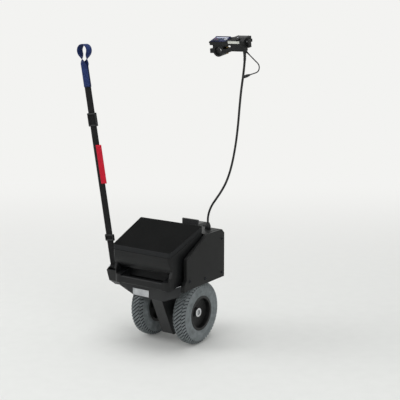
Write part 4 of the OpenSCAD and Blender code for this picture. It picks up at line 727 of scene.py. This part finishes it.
def add_block(bm, turn, side, middle, near, far, half):
    """One tread block between two distances from the tyre's middle, leaning the same way on both halves."""
    root, top, top_share, inset = 0.4, 0.05, 0.9, 0.35
    rows = []
    for i in range(4):
        x = near + (far - near) * i / 3
        lean = TREAD_SKEW * 2 * math.pi / TREAD_COUNT * side * x
        x_top = x + {0: inset, 3: -inset}.get(i, 0)
        low, high = carcass_radius(x) - root, tyre_radius(x_top) - top
        corners = ((-half, low, x), (-half * top_share, high, x_top), (half * top_share, high, x_top),
                   (half, low, x))
        rows.append([bm.verts.new(turn @ Vector((r * math.cos(middle + lean + a),
                                                 r * math.sin(middle + lean + a), side * out)))
                     for a, r, out in corners])
    for a, b in zip(rows, rows[1:]):
        for j in range(3):
            bm.faces.new((a[j], a[j + 1], b[j + 1], b[j]))
    bm.faces.new(rows[0])
    bm.faces.new(rows[-1])


def add_tyre(side):
    bm = bmesh.new()
    crown = [(carcass_radius(x), x)
             for x in (CROWN_HALF * i / CROWN_STEPS for i in range(-CROWN_STEPS, CROWN_STEPS + 1))]
    profile = [(r, -x) for r, x in reversed(WALL)] + crown + WALL
    turn = (Matrix.Translation(at(side * TYRE_X, 0, TYRE_Z)) @ Matrix.Rotation(math.pi / 2, 4, "Y")
            @ Matrix.Scale(0.001, 4))
    add_turned(bm, profile + [profile[0]], turn, TYRE_STEPS)
    bmesh.ops.remove_doubles(bm, verts=bm.verts, dist=1e-6)
    # Carcass faces in the tread band take the darker groove finish: dirt, and painted shade between the
    # blocks
    for face in bm.faces:
        place = turn.inverted() @ face.calc_center_median()
        in_dirty_shaded_groove = abs(place.z) < TREAD_ROWS[-1][1] and place.xy.length > TYRE_R * TREAD_FROM
        face.material_index = 1 if in_dirty_shaded_groove else 0
    pitch = 2 * math.pi / TREAD_COUNT
    for near, far, fill, shift in TREAD_ROWS:
        for s in (-1, 1):
            for k in range(TREAD_COUNT):
                add_block(bm, turn, s, (k + shift) * pitch, near, far, pitch * fill / 2)
    hand = "right" if side > 0 else "left"
    mesh = from_bmesh("block_tyre_" + hand, bm)
    mesh.set_sharp_from_angle(angle=math.radians(35))
    piece = add_piece("block_tyre_" + hand, mesh, tyre_rubber, "wheels")
    mesh.materials.append(tyre_groove_dirt_and_shade)
    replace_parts(piece, "tyre_" + hand)


for wheel_side in (-1, 1):
    add_tyre(wheel_side)


# Fine pieces: what the control unit carries on its panel, the lever's ribs, screws and rivets

HANDLE = (Matrix.Translation(at(220, -80, 896)) @ Matrix.Rotation(math.radians(9), 4, "X")
          @ Matrix.Scale(0.001, 4))
# The sloped panel, with local Y up its slope and Z off it, and the dial's face
PANEL = HANDLE @ Matrix.Translation((0, -20, 26)) @ Matrix.Rotation(math.atan2(6.5, 34), 4, "X")
DIAL = HANDLE @ Matrix.Translation((67, -14, 33)) @ Matrix.Rotation(math.atan2(8, 12), 4, "X")
FILM_T = 1.5
LENS_SHAPE = [(0, 0), (1.1, 0), (1.1, 0.2), (0.8, 0.55), (0.4, 0.7), (0, 0.75)]
# A button head with a round socket, and a rivet's dome, as [radius, height] in millimetres
SCREW_SHAPE = [(0, 0.9), (1.6, 0.9), (1.7, 2.5), (2.6, 2.6), (3.9, 1.9), (4.6, 0.8), (4.7, 0), (0, 0)]
RIVET_SHAPE = [(0, 0), (1.7, 0), (1.6, 0.4), (1.0, 0.9), (0, 1.0)]
SMALL_SCREW_SHARE = 0.5
# The first lamp's place on the panel, and the lamps' pitch
LAMP_X, LAMP_Y, LAMP_PITCH = -14, 18, 6
# Where the side panels' outer faces and the rear plate's face are
SIDE_X = 129
PLATE_Y = -131


def add_turned_row(name, outline, matrices, material, body):
    bm = bmesh.new()
    for matrix in matrices:
        add_turned(bm, outline, matrix)
    piece = add_piece(name, from_bmesh(name, bm), material, body)
    piece.data.set_sharp_from_angle(angle=math.radians(40))


def add_blocks(name, boxes, matrix, bevel, material, body):
    bm = bmesh.new()
    for low, high in boxes:
        add_box(bm, low, high, matrix, bevel)
    add_piece(name, from_bmesh(name, bm), material, body, False)


def on_face(x, y, z, normal):
    """A millimetre frame at a place, with its Z along a face's normal."""
    return facing(at(x, y, z), normal) @ Matrix.Scale(0.001, 4)


def dress_controls():
    add_blocks("fascia_band", [((-15, 24.5, FILM_T), (23, 29.5, FILM_T + 0.3))], PANEL, 0.1, fascia_pale,
               UNIT)
    add_blocks("fascia_rim", [((-20.5, 30.6, FILM_T), (28.5, 32.8, FILM_T + 2.4))], PANEL, 0.7, fascia_blue,
               UNIT)
    add_blocks("fascia_keys", [((x, 5, FILM_T), (x + 9, 11, FILM_T + 0.8)) for x in (-16, -3)], PANEL, 0.35,
               nylon_dark, UNIT)
    for name, material, first, count in (("lamp_red", lens_red, 0, 1), ("lamp_amber", lens_amber, 1, 1),
                                         ("lamps_green", lens_green, 2, 3)):
        places = [PANEL @ Matrix.Translation((LAMP_X + LAMP_PITCH * k, LAMP_Y, FILM_T))
                  for k in range(first, first + count)]
        add_turned_row(name, LENS_SHAPE, places, material, UNIT)
    add_blocks("dial_pointer", [((-0.5, 1.6, 4.25), (0.5, 5.0, 4.6))], DIAL, 0.1, fascia_pale, "dial")
    add_blocks("lever_ribs", [((94.6, -5.5, z - 0.6), (95.8, 5.5, z + 0.6)) for z in range(11, 24, 3)],
               HANDLE, 0.3, nylon_dark, "throttle")
    small_screw = [(r * SMALL_SCREW_SHARE, h * SMALL_SCREW_SHARE) for r, h in SCREW_SHAPE]
    add_turned_row("control_screws", small_screw,
                   [HANDLE @ Matrix.Translation((x, 14, 37)) for x in (51, 83)], steel_black, UNIT)


def dress_housing():
    panel = [(70, 216), (70, 322), (-20, 216), (-100, 226)]
    places = [on_face(s * SIDE_X, y, z, (s, 0, 0)) for s in (-1, 1) for y, z in panel]
    add_turned_row("panel_screws", SCREW_SHAPE, places, steel_black, UNIT)
    places = [on_face(x, PLATE_Y, z, (0, -1, 0)) for x in (-56.5, -3.5) for z in (166.5, 180.5)]
    add_turned_row("plate_rivets", RIVET_SHAPE, places, aluminium_brushed, UNIT)


dress_controls()
dress_housing()


# The solids: a finish for every node, and rounded edges where the real piece is moulded, cast or tumbled

EDGE_MM = {
    "base_tub": 1.2, "front_cover": 2.0, "side_panel_left": 2.4, "side_panel_right": 2.4, "rear_skirt": 1.2,
    "bright_trim": 0.3, "strap_anchor": 1.6, "gear_case_left": 1.5, "gear_case_right": 1.5, "motor_can": 1.0,
    "motor_end_cap": 1.0, "frame_hook": 1.2, "hook_gate": 0.8, "battery_case": 1.6, "battery_lid": 1.4,
    "control_base": 1.4, "control_top": 1.6, "control_fascia": 0.4, "display_plate": 0.3, "clamp_cap": 1.0,
    "throttle_lever": 1.0, "speed_dial": 0.5, "power_button": 0.6, "rim_left": 0.9, "rim_right": 0.9,
    "hub_caps": 0.8, "axle_nuts": 0.5, "case_screws": 0.5, "cable_gland": 0.7, "charge_socket": 0.6,
    "contact_block": 0.6, "clamp_bolts": 0.4,
}


def dress_solids():
    slots = {row["node"]: row["material_slot"] for row in frame["record"]["subparts"]}
    for name, node in NODES.items():
        node.data.materials.clear()
        node.data.materials.append(NODE_LOOKS.get(name, SLOT_LOOKS[slots[name]]))
        if name in EDGE_MM:
            round_edges(node, EDGE_MM[name])


dress_solids()
